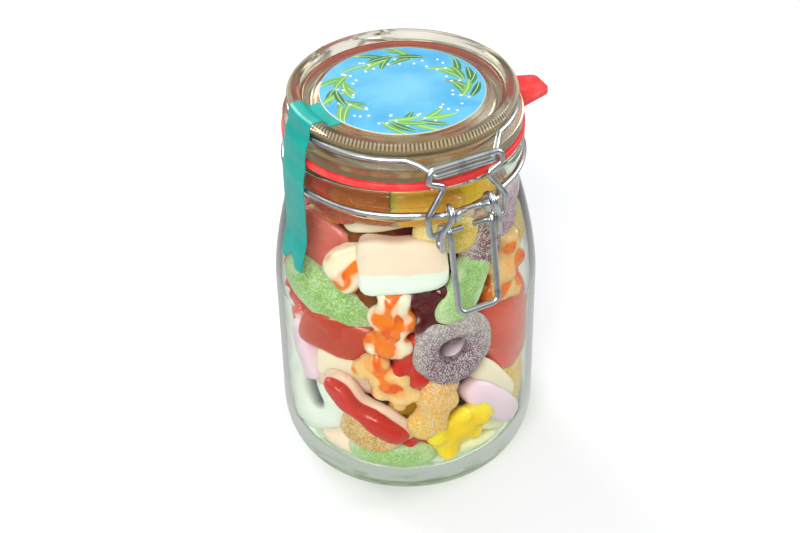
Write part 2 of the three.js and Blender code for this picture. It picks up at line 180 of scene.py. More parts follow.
class Recipe:
    """The node tree of one material or world, written as expressions."""

    def __init__(self, owner: Material | World) -> None:
        """Empties the owner's node tree.

        Args:
            owner: the material or world.
        """
        self.owner = owner
        owner.use_nodes = True
        self.tree = owner.node_tree
        self.tree.nodes.clear()

    @classmethod
    def named(cls, name: str) -> "Recipe":
        """Starts a new material."""
        return cls(bpy.data.materials.new(name))

    def node(self, kind: str, settings: Settings, sockets: Sockets) -> Node:
        """Adds any node.

        Args:
            kind: the node's type.
            settings: its properties, set first; "stops" holds a ramp's (place, colour) pairs.
            sockets: what each input socket holds or is linked to.

        Returns:
            The new node.
        """
        made = self.tree.nodes.new(kind)
        for name, setting in settings.items():
            if name == "stops":
                self._set_stops(made.color_ramp, setting)
            else:
                setattr(made, name, setting)
        for key, feed in sockets.items():
            self._feed(made.inputs[key], feed)
        return made

    def out(self, kind: str, settings: Settings, sockets: Sockets, output: str | int = 0) -> Signal:
        """Adds any node and returns one of its outputs.

        Args:
            kind: the node's type.
            settings: its properties.
            sockets: what each input socket holds or is linked to.
            output: the output socket's name or number.

        Returns:
            That output.
        """
        return Signal(self, self.node(kind, settings, sockets).outputs[output])

    def arithmetic(self, operation: str, *operands: Feed) -> Signal:
        """Adds a Math node, or a Vector Math node where an operand is a vector or colour.

        Args:
            operation: the node's operation.
            operands: one to three values or links.

        Returns:
            The result.
        """
        is_vector = any(self._is_vector(operand) for operand in operands)
        kind = "ShaderNodeVectorMath" if is_vector else "ShaderNodeMath"
        spread = [self._spread(operand) if is_vector else operand for operand in operands]
        return self.out(kind, {"operation": operation}, dict(enumerate(spread)))

    def blend(self, factor: Feed, first: Feed, second: Feed) -> Signal:
        """Mixes two colours.

        Args:
            factor: 0 gives the first colour and 1 the second.
            first: the colour at 0.
            second: the colour at 1.

        Returns:
            The mixed colour.
        """
        return self.out("ShaderNodeMix", {"data_type": "RGBA"}, {0: factor, 6: first, 7: second}, 2)

    def place(self) -> Signal:
        """The surface's place on the object, in millimetres."""
        return self.out("ShaderNodeTexCoord", {}, {}, "Object") * (1.0 / MM)

    def attribute(self, name: str, output: str = "Vector") -> Signal:
        """A value stored on the mesh.

        Args:
            name: the attribute's name.
            output: Vector, Color or Fac.

        Returns:
            The stored value.
        """
        return self.out("ShaderNodeAttribute", {"attribute_name": name}, {}, output)

    def noise(self, place: Feed, grain: float, detail: float = 2.0, distortion: float = 0.0) -> Signal:
        """Smooth noise from 0 to 1.

        Args:
            place: where it is read, in millimetres.
            grain: the size of its lumps in millimetres.
            detail: how many finer layers it has.
            distortion: how much it is stirred.

        Returns:
            The noise.
        """
        sockets = {"Vector": place, "Scale": 1.0 / grain, "Detail": detail, "Distortion": distortion}
        return self.out("ShaderNodeTexNoise", {}, sockets, "Fac")

    def cells(self, place: Feed, grain: float, output: str = "Distance") -> Signal:
        """Cells round scattered points.

        Args:
            place: where they are read, in millimetres.
            grain: the cells' size in millimetres.
            output: Distance, Color or Position.

        Returns:
            That output of the pattern.
        """
        return self.out("ShaderNodeTexVoronoi", {}, {"Vector": place, "Scale": 1.0 / grain}, output)

    def bump(self, height: Feed, depth: float, under: Feed | None = None) -> Signal:
        """Relief for a surface's Normal.

        Args:
            height: the relief, from 0 to 1.
            depth: the height of 1 in millimetres.
            under: a coarser relief that this one lies on.

        Returns:
            The new normal.
        """
        sockets: dict[str | int, Any] = {"Height": height, "Distance": depth * MM, "Strength": 1.0}
        if under is not None:
            sockets["Normal"] = under
        return self.out("ShaderNodeBump", {}, sockets, "Normal")

    def principled(self, sockets: Sockets) -> Signal:
        """Adds the main shader.

        Args:
            sockets: what each of its sockets holds or is linked to.

        Returns:
            The shader.
        """
        return self.out("ShaderNodeBsdfPrincipled", {}, sockets, "BSDF")

    def finish(self, surface: Signal, volume: Signal | None = None) -> Material:
        """Ends the material.

        Args:
            surface: the shader of the surface.
            volume: the shader of the inside, if it has one.

        Returns:
            The material.
        """
        ends = {"Surface": surface} if volume is None else {"Surface": surface, "Volume": volume}
        self.node("ShaderNodeOutputMaterial", {}, ends)
        return self.owner

    def _feed(self, socket: NodeSocket, feed: Feed) -> None:
        """Links or sets one input socket."""
        if isinstance(feed, Signal):
            self.tree.links.new(feed.socket, socket)
        elif socket.type == "RGBA" and len(feed) == 3:
            socket.default_value = (*feed, 1.0)
        else:
            socket.default_value = feed

    @staticmethod
    def _set_stops(ramp: ColorRamp, stops: Sequence[tuple[float, Sequence[float]]]) -> None:
        """Gives a ramp its stops."""
        while len(ramp.elements) < len(stops):
            ramp.elements.new(1.0)
        for element, (position, colour) in zip(ramp.elements, stops):
            element.position = position
            element.color = (*colour, 1.0)

    @staticmethod
    def _is_vector(feed: Feed) -> bool:
        """True for a vector or a colour."""
        if isinstance(feed, Signal):
            return feed.socket.type in {"VECTOR", "RGBA"}
        return not isinstance(feed, (int, float))

    @staticmethod
    def _spread(feed: Feed) -> Feed:
        """A plain number as the same number on all three axes."""
        return (feed, feed, feed) if isinstance(feed, (int, float)) else feed


def linear(shade: str) -> tuple[float, float, float]:
    """A colour as light, from a web colour such as "#8cbe5a".

    Args:
        shade: the colour in hexadecimal, as a screen shows it.

    Returns:
        Red, green and blue as amounts of light.
    """
    parts = [int(shade[i : i + 2], 16) / 255.0 for i in (1, 3, 5)]
    red, green, blue = (p / 12.92 if p <= 0.04045 else ((p + 0.055) / 1.055) ** 2.4 for p in parts)
    return red, green, blue


# ---- finishes


@dataclass(frozen=True)
class ClearGlass:
    """Pressed glass: clear, a little wavy, grey-green seen edge on, and rough under the foot."""

    name: str = "jar_glass"
    tint: str = "#fcfefb"
    foot_z: float = FOOT_HOLLOW
    foot_blur: float = 0.8
    foot_roughness: float = 0.3
    foot_glow: str = "#9fa898"
    depth_tint: str = "#bfdcb8"
    absorption: float = 36.0
    ior: float = 1.5
    sheen: float = 0.02
    roughness: float = 0.015
    wave_grain: float = 14.0
    wave_depth: float = 0.05
    streak_shade: str = "#b4c8a4"
    streak_top: float = 19.0
    streak_grain: float = 10.0
    streak_squash: float = 3.2

    def colour(self, recipe: Recipe) -> Feed:
        """The glass's own tint, with level green streaks in its thick foot."""
        place = recipe.place()
        level = place * (1.0, 1.0, self.streak_squash)
        streak = recipe.noise(level, self.streak_grain).step(0.46, 0.62)
        reach = place.parts()[2].step(self.streak_top, self.streak_top * 0.45)
        return recipe.blend(streak * reach, linear(self.tint), linear(self.streak_shade))

    def glow(self, recipe: Recipe) -> Feed:
        """A faint glow, which stands in for the light that the foot gathers."""
        low = recipe.place().parts()[2].step(self.foot_z * 2.4, self.foot_z)
        return recipe.blend(low, (0.0, 0.0, 0.0), linear(self.foot_glow))

    def material(self) -> Material:
        """Makes the material; it lets lamps and already mirrored rays straight through."""
        recipe = Recipe.named(self.name)
        place = recipe.place()
        waves = recipe.noise(place, self.wave_grain, 1.0)
        foot = place.parts()[2].step(self.foot_z, self.foot_z - self.foot_blur)
        glass = recipe.principled(
            {
                "Base Color": self.colour(recipe),
                "Roughness": self.roughness + foot * self.foot_roughness,
                "IOR": self.ior,
                "Specular Tint": (self.sheen,) * 3,
                "Transmission Weight": 1.0,
                "Emission Color": self.glow(recipe),
                "Emission Strength": 1.0,
                "Normal": recipe.bump(waves, self.wave_depth),
            }
        )
        ray = recipe.node("ShaderNodeLightPath", {}, {})
        gap = recipe.out("ShaderNodeBsdfTransparent", {}, {"Color": linear(self.tint)})
        surface = glass
        for kind in ("Is Reflection Ray", "Is Diffuse Ray", "Is Shadow Ray"):
            passes = Signal(recipe, ray.outputs[kind])
            surface = recipe.out("ShaderNodeMixShader", {}, {0: passes, 1: surface, 2: gap})
        inside = {"Color": linear(self.depth_tint), "Density": self.absorption}
        return recipe.finish(surface, recipe.out("ShaderNodeVolumeAbsorption", {}, inside))


@dataclass(frozen=True)
class BeadedGlass(ClearGlass):
    """The lid's thicker, greyer glass, with a row of dull beads round its top edge, painted with shade
    between the beads and a highlight on each crest, under a faint painted glow.
    """

    name: str = "lid_glass"
    tint: str = "#e6e1d4"
    # painted glow over the whole lid, standing in for light in the glass
    lid_painted_glow: str = "#3a372f"
    depth_tint: str = "#c0b5a0"
    roughness: float = 0.2
    wave_depth: float = 0.12
    sheen: float = 0.25
    # painted shade between the beads, and a painted highlight on each bead's crest
    bead_gap_painted_shade: str = "#857c6b"
    bead_painted_highlight: str = "#8d8878"
    bead_radius: float = 43.7
    radius_blur: float = 0.2
    bead_z: float = 172.0
    height_blur: float = 0.3

    def colour(self, recipe: Recipe) -> Feed:
        """The glass's tint, with painted shade between the beads."""
        edge, crest = self._beads(recipe)
        # painted shade: darker between the beads' crests
        return recipe.blend(edge * (1.0 - crest), linear(self.tint), linear(self.bead_gap_painted_shade))

    def glow(self, recipe: Recipe) -> Feed:
        """A faint painted glow over the whole lid, and a painted highlight on each bead's crest."""
        edge, crest = self._beads(recipe)
        # painted glow over the lid, and painted highlights on the beads' crests
        return recipe.blend(edge * crest, linear(self.lid_painted_glow), linear(self.bead_painted_highlight))

    def _beads(self, recipe: Recipe) -> tuple[Signal, Signal]:
        """Where the row of beads is, and where each bead's crest is."""
        x, y, z = recipe.place().parts()
        turn = y.function("ARCTAN2", x)
        crest = (turn * float(RIM_BEADS)).function("COSINE").step(-0.4, 0.2)
        distance = (x * x + y * y) ** 0.5
        edge = distance.step(self.bead_radius - self.radius_blur, self.bead_radius + self.radius_blur)
        return edge * z.step(self.bead_z - self.height_blur, self.bead_z + self.height_blur), crest


@dataclass(frozen=True)
class BrightWire:
    """Zinc-plated steel wire with a faint grain."""

    colour: str = "#dde3e6"
    dull_colour: str = "#b4bcc2"
    roughness: float = 0.27
    cloud_grain: float = 5.4
    pit_grain: float = 0.315
    pit_depth: float = 0.012

    def material(self) -> Material:
        """Makes the material."""
        recipe = Recipe.named("bright_wire")
        place = recipe.place()
        clouds = recipe.noise(place, self.cloud_grain, 3.0)
        pits = recipe.noise(place, self.pit_grain)
        colour = recipe.blend(clouds.step(0.45, 0.7), linear(self.colour), linear(self.dull_colour))
        shader = recipe.principled(
            {
                "Base Color": colour,
                "Metallic": 1.0,
                "Roughness": self.roughness + clouds * 0.12,
                "Normal": recipe.bump(pits, self.pit_depth),
            }
        )
        return recipe.finish(shader)


@dataclass(frozen=True)
class SealRubber:
    """Red rubber with a satin skin."""

    colour: str = "#dd2a2c"
    worn_colour: str = "#e8504a"
    roughness: float = 0.42
    cloud_grain: float = 6.0
    skin_grain: float = 0.25
    skin_depth: float = 0.02

    def material(self) -> Material:
        """Makes the material."""
        recipe = Recipe.named("seal_rubber")
        place = recipe.place()
        clouds = recipe.noise(place, self.cloud_grain, 3.0)
        skin = recipe.noise(place, self.skin_grain)
        colour = recipe.blend(clouds.step(0.45, 0.8), linear(self.colour), linear(self.worn_colour))
        shader = recipe.principled(
            {
                "Base Color": colour,
                "Roughness": self.roughness + clouds * 0.15,
                "Subsurface Weight": 0.1,
                "Subsurface Radius": (1.0, 0.2, 0.15),
                "Subsurface Scale": 1.0 * MM,
                "Normal": recipe.bump(skin, self.skin_depth),
            }
        )
        return recipe.finish(shader)


@dataclass(frozen=True)
class RibbonPaper:
    """Teal paper with a satin coat."""

    colour: str = "#0c978c"
    pale_colour: str = "#1ba89c"
    roughness: float = 0.3
    cloud_grain: float = 9.0
    cloud_depth: float = 0.12
    fibre_grain: float = 0.35
    fibre_depth: float = 0.015

    def material(self) -> Material:
        """Makes the material."""
        recipe = Recipe.named("ribbon_paper")
        place = recipe.place()
        clouds = recipe.noise(place, self.cloud_grain)
        fibres = recipe.noise(place * (1.0, 1.0, 0.3), self.fibre_grain, 3.0)
        colour = recipe.blend(clouds.step(0.35, 0.85), linear(self.colour), linear(self.pale_colour))
        shader = recipe.principled(
            {
                "Base Color": colour,
                "Roughness": self.roughness + fibres * 0.12,
                "Coat Weight": 0.06,
                "Coat Roughness": 0.2,
                "Normal": recipe.bump(fibres, self.fibre_depth, recipe.bump(clouds, self.cloud_depth)),
            }
        )
        return recipe.finish(shader)


@dataclass(frozen=True)
class LeafRow:
    """One ring of the label's leaves: its radius, how many leaves it has, and their slant."""

    radius: float
    count: int
    slant: float


@dataclass(frozen=True)
class LabelPaper:
    """Sky-blue label paper printed with four sprays of plain oval leaves and small dots."""

    middle_z: float = 171.1
    paper: str = "#d9d5c0"
    # painted glow on the label's underside, standing in for light that reaches it there
    underside_painted_glow: str = "#a39b78"
    sky: str = "#5cb0d3"
    deep_sky: str = "#3f9bc8"
    light_sky: str = "#7fc0dc"
    leaf_dark: str = "#1d5f3a"
    leaf_light: str = "#78b552"
    leaf_rib: str = "#d9f0b0"
    leaf_rows: tuple[LeafRow, ...] = (
        LeafRow(22.0, 11, -0.75),
        LeafRow(22.5, 12, -0.4),
        LeafRow(29.0, 15, 0.5),
        LeafRow(28.0, 14, 0.75),
        LeafRow(25.6, 13, 0.1),
    )
    leaf_length: float = 7.0
    leaf_width: float = 1.6
    sprays: int = 4
    dot: str = "#ffffff"
    dot_drop: float = 2.3
    dot_edge: tuple[float, float] = (0.42, 0.3)
    sky_grain: float = 17.0
    fibre_grain: float = 0.4

    def material(self) -> Material:
        """Makes the material."""
        recipe = Recipe.named("label_paper")
        place = recipe.place()
        x, y, _ = place.parts()
        distance = (x * x + y * y) ** 0.5
        turn = y.function("ARCTAN2", x) / FULL_TURN
        clouds = recipe.noise(place, self.sky_grain, 3.0, 0.6)
        colour = recipe.blend(clouds.step(0.3, 0.7), linear(self.deep_sky), linear(self.sky))
        colour = recipe.blend(distance.step(24.0, 0.0) * 0.6, colour, linear(self.light_sky))
        for number, row in enumerate(self.leaf_rows):
            colour = self._leaf_row(recipe, colour, distance, turn, number, row)
        edge = distance.step(LABEL_RADIUS - 0.3, LABEL_RADIUS - 0.2)
        underside = place.parts()[2].step(self.middle_z, self.middle_z - 0.1)
        colour = recipe.blend(edge.function("MAXIMUM", underside), colour, linear(self.paper))
        fibres = recipe.noise(place, self.fibre_grain, 3.0)
        shader = recipe.principled(
            {
                # painted glow: the underside glows to stand in for the light it would catch
                "Emission Color": recipe.blend(underside, (0.0, 0.0, 0.0), linear(self.underside_painted_glow)),
                "Emission Strength": 1.0,
                "Base Color": colour,
                "Roughness": 0.3 + fibres * 0.1,
                "Coat Weight": 0.25,
                "Coat Roughness": 0.15,
                "Normal": recipe.bump(fibres, 0.01),
            }
        )
        return recipe.finish(shader)

    def _leaf_row(
        self,
        recipe: Recipe,
        under: Signal,
        distance: Signal,
        turn: Signal,
        row_number: int,
        row: LeafRow,
    ) -> Signal:
        """Lays one ring of slanted leaves, with a dot between each two, over a colour.

        Args:
            recipe: the label's recipe.
            under: the colour below.
            distance: the distance from the label's middle.
            turn: the turn round the middle, from -0.5 to 0.5.
            row_number: the ring's number.
            row: the ring.

        Returns:
            The colour with the leaves on it.
        """
        shift = row_number * 0.37 + 50.0
        pitch = FULL_TURN * row.radius / row.count
        along = turn * float(row.count) + shift
        number = along.function("FLOOR")
        seed = {"W": number + row_number * 31.0}
        chance = recipe.out("ShaderNodeTexWhiteNoise", {"noise_dimensions": "1D"}, seed, "Value")
        across = (along - number - 0.5) * pitch
        out = distance - row.radius
        lean = row.slant + (chance - 0.5) * 0.5
        cosine = lean.function("COSINE")
        sine = lean.function("SINE")
        lengthwise = across * cosine + out * sine
        sideways = out * cosine - across * sine
        long_share = lengthwise / self.leaf_length
        width = (1.0 - long_share * long_share).function("MAXIMUM", 0.0) * self.leaf_width
        own_turn = (number + (0.5 - shift)) * (FULL_TURN / row.count)
        spray = (own_turn * float(self.sprays) + 0.9).function("COSINE") + own_turn.function("SINE") * 0.3
        shown = (spray + chance * 0.6).step(0.0, 0.1)
        inside = (width - abs(sideways)).step(0.0, 0.14) * shown
        rib = abs(sideways).step(0.28, 0.1) * 0.55
        leaf = recipe.blend(chance, linear(self.leaf_dark), linear(self.leaf_light))
        leaf = recipe.blend(rib, leaf, linear(self.leaf_rib))
        printed = recipe.blend(inside, under, leaf)
        dot_across = pitch / 2.0 - abs(across)
        dot_out = out + self.dot_drop
        dot = (dot_across * dot_across + dot_out * dot_out).step(*self.dot_edge)
        return recipe.blend(dot * 0.85, printed, linear(self.dot))


class Tint(Enum):
    """Colours of the sweets, as a screen shows them."""

    RED = "#cb2c20"
    CORAL = "#e05a45"
    MAROON = "#5a1018"
    PINK = "#f6d4e9"
    ROSE = "#f2cdbd"
    PEACH = "#f8dcca"
    CREAM = "#fbe7d0"
    LEMON_CREAM = "#f8efc4"
    MINT = "#ecefea"
    LEAF_EDGE = "#e4ebc2"
    WHITE = "#f9f6f0"
    GREEN = "#98c566"
    YELLOW = "#eebb12"
    PALE_YELLOW = "#f0c83a"
    ORANGE = "#f27f22"
    AMBER = "#dda335"
    BROWN = "#b0602c"
    PURPLE = "#7f5070"
    PLUM = "#84475c"
    LILAC = "#b98aa8"
    RASPBERRY = "#d67066"
    BRICK_RED = "#c2452f"
    LEMON = "#f6cd12"
    AMBER_CREAM = "#f6c98a"
    APRICOT = "#f2ab45"

    @property
    def light(self) -> tuple[float, float, float]:
        """The colour as amounts of light."""
        return linear(self.value)


class Mark(Enum):
    """Values that every sweet's mesh carries for its material.

    FORM holds how far the point lies inside the lower layer, how near it lies to the
    sweet's outer edge, and a chance number of the sweet's own.
    """

    LOCAL = "local_mm"
    FORM = "form"
    TOP = "top_tint"
    BASE = "base_tint"


@dataclass(frozen=True)
class Look:
    """What a sweet's material reads from its mesh.

    Attributes:
        apart: the place on the sweet in millimetres, moved apart for each sweet.
        lower: how far inside the lower layer the place lies, in millimetres.
        rim: 0 in the middle of the showing side and 1 at the sweet's outer edge.
        chance: a number from 0 to 1 for each sweet.
        top: the tint of the upper layer.
        base: the tint of the lower layer.
    """

    apart: Signal
    lower: Signal
    rim: Signal
    chance: Signal
    top: Signal
    base: Signal


class SweetFinish:
    """What all sweets' finishes share: they read the marks on the sweet's mesh."""

    name = "sweet"
    spread = 90.0

    def material(self) -> Material:
        """Makes the material."""
        recipe = Recipe.named(self.name)
        lower, rim, chance = recipe.attribute(Mark.FORM.value).parts()
        look = Look(
            apart=recipe.attribute(Mark.LOCAL.value) + chance * self.spread,
            lower=lower,
            rim=rim,
            chance=chance,
            top=recipe.attribute(Mark.TOP.value, "Color"),
            base=recipe.attribute(Mark.BASE.value, "Color"),
        )
        return recipe.finish(self.shader(recipe, look))

    def shader(self, recipe: Recipe, look: Look) -> Signal:
        """Builds the shader.

        Args:
            recipe: the material's recipe.
            look: what the mesh gives.

        Returns:
            The shader.
        """
        raise NotImplementedError


class Jelly(SweetFinish):
    """Clear fruit jelly on a pale layer: glossy, with painted light that keeps it deep in the middle and
    paler at its rim, where light would shine through.
    """

    name = "jelly"
    cloud_grain = 9.0
    wet_grain = 11.0
    skin_grain = 2.6

    def shader(self, recipe: Recipe, look: Look) -> Signal:
        """Builds the shader; see SweetFinish.shader."""
        clouds = recipe.noise(look.apart, self.cloud_grain)
        wet = recipe.noise(look.apart + 40.0, self.wet_grain, 1.0).step(0.5, 0.54)
        deep = look.top * (0.55 + clouds * 0.5)
        # a lighter copy of the tint, used as painted light
        glow = look.top * 1.2 + 0.03
        body = recipe.blend(wet * 0.75, recipe.blend(0.5, deep, glow), look.top)
        # painted light: paler towards the rim, where light would shine through the thin edge
        rim_painted_light = recipe.blend(look.rim.step(0.6, 1.02) * 0.55, body, glow)
        layer = (look.lower + clouds * 0.8).step(0.1, 0.7)
        skin = recipe.noise(look.apart, self.skin_grain)
        return recipe.principled(
            {
                "Base Color": recipe.blend(layer, rim_painted_light, look.base),
                "Roughness": 0.3 - wet * 0.2 + skin * 0.1,
                "Subsurface Weight": 0.8,
                "Subsurface Radius": (1.0, 0.4, 0.3),
                "Subsurface Scale": 3.5 * MM,
                "Specular IOR Level": 0.3,
                "Coat Weight": 0.25,
                "Coat Roughness": 0.06,
                "Normal": recipe.bump(skin, 0.16, recipe.bump(wet, 0.25)),
            }
        )


class SugarJelly(SweetFinish):
    """Jelly rolled in sugar: pale glittering grains over a soft colour, on a foam layer."""

    name = "sugar_jelly"
    cloud_grain = 5.0
    sugar_grain = 0.6
    fine_grain = 0.5

    def shader(self, recipe: Recipe, look: Look) -> Signal:
        """Builds the shader; see SweetFinish.shader."""
        clouds = recipe.noise(look.apart, self.cloud_grain)
        layer = (look.lower + (clouds - 0.5) * 3.0).step(-0.9, 0.9)
        frost = look.rim.step(0.45, 1.0) * 0.45 + clouds.step(0.5, 0.75) * 0.35
        under = look.top * (0.72 + clouds * 0.4)
        pale = recipe.blend(0.55, look.top, Tint.WHITE.light)
        body = recipe.blend(layer, recipe.blend(frost, under, pale), look.base)
        grain = recipe.cells(look.apart, self.sugar_grain)
        sparkle = recipe.cells(look.apart, self.sugar_grain, "Color").parts()[0]
        fine = recipe.noise(look.apart, self.fine_grain)
        sugar = grain.step(0.65, 0.3) * (sparkle + fine * 0.6).step(0.4, 0.75)
        strength = 0.85 - look.top.parts()[1] * 0.6
        white = recipe.blend(0.8, look.top, Tint.WHITE.light)
        relief = (1.0 - grain) * 0.6 + sparkle * 0.4
        return recipe.principled(
            {
                "Base Color": recipe.blend(sugar * strength, body, white),
                "Roughness": 0.6 - sparkle * 0.35,
                "Subsurface Weight": 0.5,
                "Subsurface Radius": (0.8, 0.7, 0.5),
                "Subsurface Scale": 1.5 * MM,
                "Normal": recipe.bump(relief, 0.25),
            }
        )


class Foam(SweetFinish):
    """Soft sugar foam: matt, pale, two layers that meet in an uneven line."""

    name = "foam"
    cloud_grain = 7.0
    pore_grain = 0.55
    dent_grain = 4.5

    def shader(self, recipe: Recipe, look: Look) -> Signal:
        """Builds the shader; see SweetFinish.shader."""
        clouds = recipe.noise(look.apart, self.cloud_grain)
        layer = (look.lower + (clouds - 0.5) * 2.4).step(-0.5, 0.5)
        colour = recipe.blend(layer, look.top, look.base) * (0.92 + clouds * 0.12)
        pores = recipe.noise(look.apart, self.pore_grain)
        dents = recipe.noise(look.apart, self.dent_grain, 1.0)
        return recipe.principled(
            {
                "Base Color": colour,
                "Roughness": 0.45 + pores * 0.15,
                "Subsurface Weight": 0.5,
                "Subsurface Radius": (1.0, 0.95, 0.9),
                "Subsurface Scale": 2.5 * MM,
                "Normal": recipe.bump(pores, 0.02, recipe.bump(dents, 0.25)),
            }
        )


class Swirl(SweetFinish):
    """Cream foam and bright jelly poured together, in broad flames."""

    name = "swirl"
    stir_grain = 8.0
    tone_grain = 6.0
    skin_grain = 2.2

    def shader(self, recipe: Recipe, look: Look) -> Signal:
        """Builds the shader; see SweetFinish.shader."""
        flames = recipe.noise(look.apart * (0.7, 1.1, 1.0), self.stir_grain, 0.0, 0.6)
        stir = flames + (look.chance - 0.5) * 0.14
        tone = recipe.noise(look.apart, self.tone_grain, 1.0)
        hot = recipe.blend(tone.step(0.36, 0.52), look.top * (0.93, 0.5, 0.3), look.top)
        pale = recipe.blend(stir.step(0.4, 0.55) * 0.5, look.base, look.top)
        skin = recipe.noise(look.apart, self.skin_grain)
        return recipe.principled(
            {
                "Base Color": recipe.blend(stir.step(0.52, 0.57), pale, hot),
                "Roughness": 0.16 + skin * 0.2,
                "Subsurface Weight": 0.6,
                "Subsurface Radius": (1.0, 0.6, 0.4),
                "Subsurface Scale": 2.5 * MM,
                "Coat Weight": 0.25,
                "Coat Roughness": 0.12,
                "Normal": recipe.bump(skin, 0.12),
            }
        )


@dataclass(frozen=True)
class DeepSweets:
    """The middle of the heap, seen only between the sweets, its colours darkened as painted shade."""

    cell: float = 13.0
    stir_grain: float = 8.0
    stir_reach: float = 6.0
    skin_grain: float = 2.5

    def material(self) -> Material:
        """Makes the material."""
        recipe = Recipe.named("deep_sweets")
        place = recipe.place()
        stirred = place + recipe.noise(place, self.stir_grain, 1.0) * self.stir_reach
        pick = recipe.cells(stirred, self.cell, "Color").parts()[1]
        shades = [Tint.BRICK_RED, Tint.AMBER, Tint.BROWN, Tint.RED, Tint.PLUM, Tint.ORANGE]
        stops = [(i / len(shades), shade.light) for i, shade in enumerate(shades)]
        colour = recipe.out("ShaderNodeValToRGB", {"stops": stops}, {0: pick}, "Color")
        skin = recipe.noise(place, self.skin_grain)
        shader = recipe.principled(
            {
                # painted shade: the colours are darkened to stand in for the shade deep in the heap
                "Base Color": colour * (0.1 + skin * 0.3),
                "Roughness": 0.5 + skin * 0.2,
                "Normal": recipe.bump(skin, 0.5),
            }
        )
        return recipe.finish(shader)


@dataclass(frozen=True)
class StudioFloor:
    """Plain pale floor, which glows faintly to keep its shadows light."""

    colour: str = "#cdced1"
    glow: float = 0.15

    def material(self) -> Material:
        """Makes the material."""
        recipe = Recipe.named("studio_floor")
        inputs = {
            "Base Color": linear(self.colour),
            "Roughness": 0.6,
            "Emission Color": (1.0, 1.0, 1.0),
            "Emission Strength": self.glow,
        }
        return recipe.finish(recipe.principled(inputs))


# ---- mesh helpers


@dataclass(frozen=True)
class Corner:
    """A corner of a path: its place, and the radius that the path is bent to there."""

    x: float
    y: float
    z: float
    bend: float = 0.0

    @property
    def place(self) -> Vector:
        """The corner's place."""
        return Vector((self.x, self.y, self.z))

    def mirrored(self) -> "Corner":
        """The same corner on the other side, in X."""
        return Corner(-self.x, self.y, self.z, self.bend)


def corner_at(place: Vector) -> Corner:
    """An unbent corner at a place."""
    return Corner(place.x, place.y, place.z)


def spaced(first: float, last: float, steps: int) -> list[float]:
    """Evenly spaced numbers, from the first to the last."""
    return [first + (last - first) * i / steps for i in range(steps + 1)]


def ring_corners(radius: float, z: float, turns: Sequence[float]) -> list[Corner]:
    """Unbent corners on a level circle, at turns in radians from +X."""
    return [Corner(radius * math.cos(turn), radius * math.sin(turn), z) for turn in turns]


def bent_path(corners: Sequence[Corner]) -> list[Vector]:
    """Points along straight runs whose corners are bent to their radii.

    Args:
        corners: the corners, in order.

    Returns:
        The points.
    """
    points: list[Vector] = []
    for i, corner in enumerate(corners):
        if corner.bend == 0.0 or i in (0, len(corners) - 1):
            points.append(corner.place)
            continue
        incoming = (corner.place - corners[i - 1].place).normalized()
        outgoing = (corners[i + 1].place - corner.place).normalized()
        turn = incoming.angle(outgoing)
        start = corner.place - incoming * (corner.bend * math.tan(turn / 2.0))
        side = (outgoing - incoming * incoming.dot(outgoing)).normalized()
        centre = start + side * corner.bend
        for angle in spaced(0.0, turn, max(2, round(turn / BEND_STEP))):
            ahead = incoming * (corner.bend * math.sin(angle))
            points.append(centre - side * (corner.bend * math.cos(angle)) + ahead)
    return points


def outline(*corners: tuple[float, ...]) -> list[Vector]:
    """An outline in the XZ plane from (radius, height) or (radius, height, bend) corners."""
    return bent_path([Corner(c[0], 0.0, c[1], c[2] if len(c) > 2 else 0.0) for c in corners])


def weld(bm: BMesh) -> None:
    """Merges doubled points, and then turns every face outwards."""
    bmesh.ops.remove_doubles(bm, verts=bm.verts, dist=1e-4)
    bmesh.ops.recalc_face_normals(bm, faces=bm.faces)


def round_edges(bm: BMesh, edges: list[BMEdge], offset: float, segments: int) -> None:
    """Rounds edges off, starting at an offset from each."""
    settings = {"affect": "EDGES", "profile": 0.5, "material": -1}
    bmesh.ops.bevel(bm, geom=edges, offset=offset, segments=segments, **settings)


def as_mesh(bm: BMesh, name: str) -> Mesh:
    """Stores a bmesh, which is freed, as mesh data.

    Args:
        bm: the shape.
        name: the mesh's name.

    Returns:
        The mesh.
    """
    mesh = bpy.data.meshes.new(name)
    bm.to_mesh(mesh)
    bm.free()
    return mesh


def linked(name: str, data: ID) -> Object:
    """Adds an object to the scene.

    Args:
        name: the object's name.
        data: its mesh, curve, lamp or camera.

    Returns:
        The object.
    """
    added = bpy.data.objects.new(name, data)
    bpy.context.scene.collection.objects.link(added)
    return added


def turned(points: Sequence[Vector], steps: int) -> BMesh:
    """Spins an outline in the XZ plane once round the Z axis.

    Args:
        points: the outline, from the axis and back to it, or closed on itself.
        steps: how many faces go round.

    Returns:
        The solid.
    """
    bm = bmesh.new()
    verts = [bm.verts.new(point) for point in points]
    edges = [bm.edges.new(pair) for pair in zip(verts, verts[1:])]
    bmesh.ops.spin(
        bm,
        geom=verts + edges,
        cent=(0.0, 0.0, 0.0),
        axis=(0.0, 0.0, 1.0),
        angle=FULL_TURN,
        steps=steps,
        use_merge=True,
    )
    weld(bm)
    return bm


def evaluated(source: ID, prepare: Callable[[Object], None] | None = None) -> BMesh:
    """The mesh that a curve or a mesh gives once its modifiers have run.

    Args:
        source: the curve or mesh data, which is deleted afterwards.
        prepare: adds the modifiers to the passing object.

    Returns:
        The result.
    """
    holder = linked("passing", source)
    if prepare is not None:
        prepare(holder)
    graph = bpy.context.evaluated_depsgraph_get()
    mesh = bpy.data.meshes.new_from_object(holder.evaluated_get(graph), depsgraph=graph)
    bm = bmesh.new()
    bm.from_mesh(mesh)
    bpy.data.objects.remove(holder)
    bpy.data.meshes.remove(mesh)
    owner = bpy.data.curves if isinstance(source, Curve) else bpy.data.meshes
    owner.remove(source)
    return bm


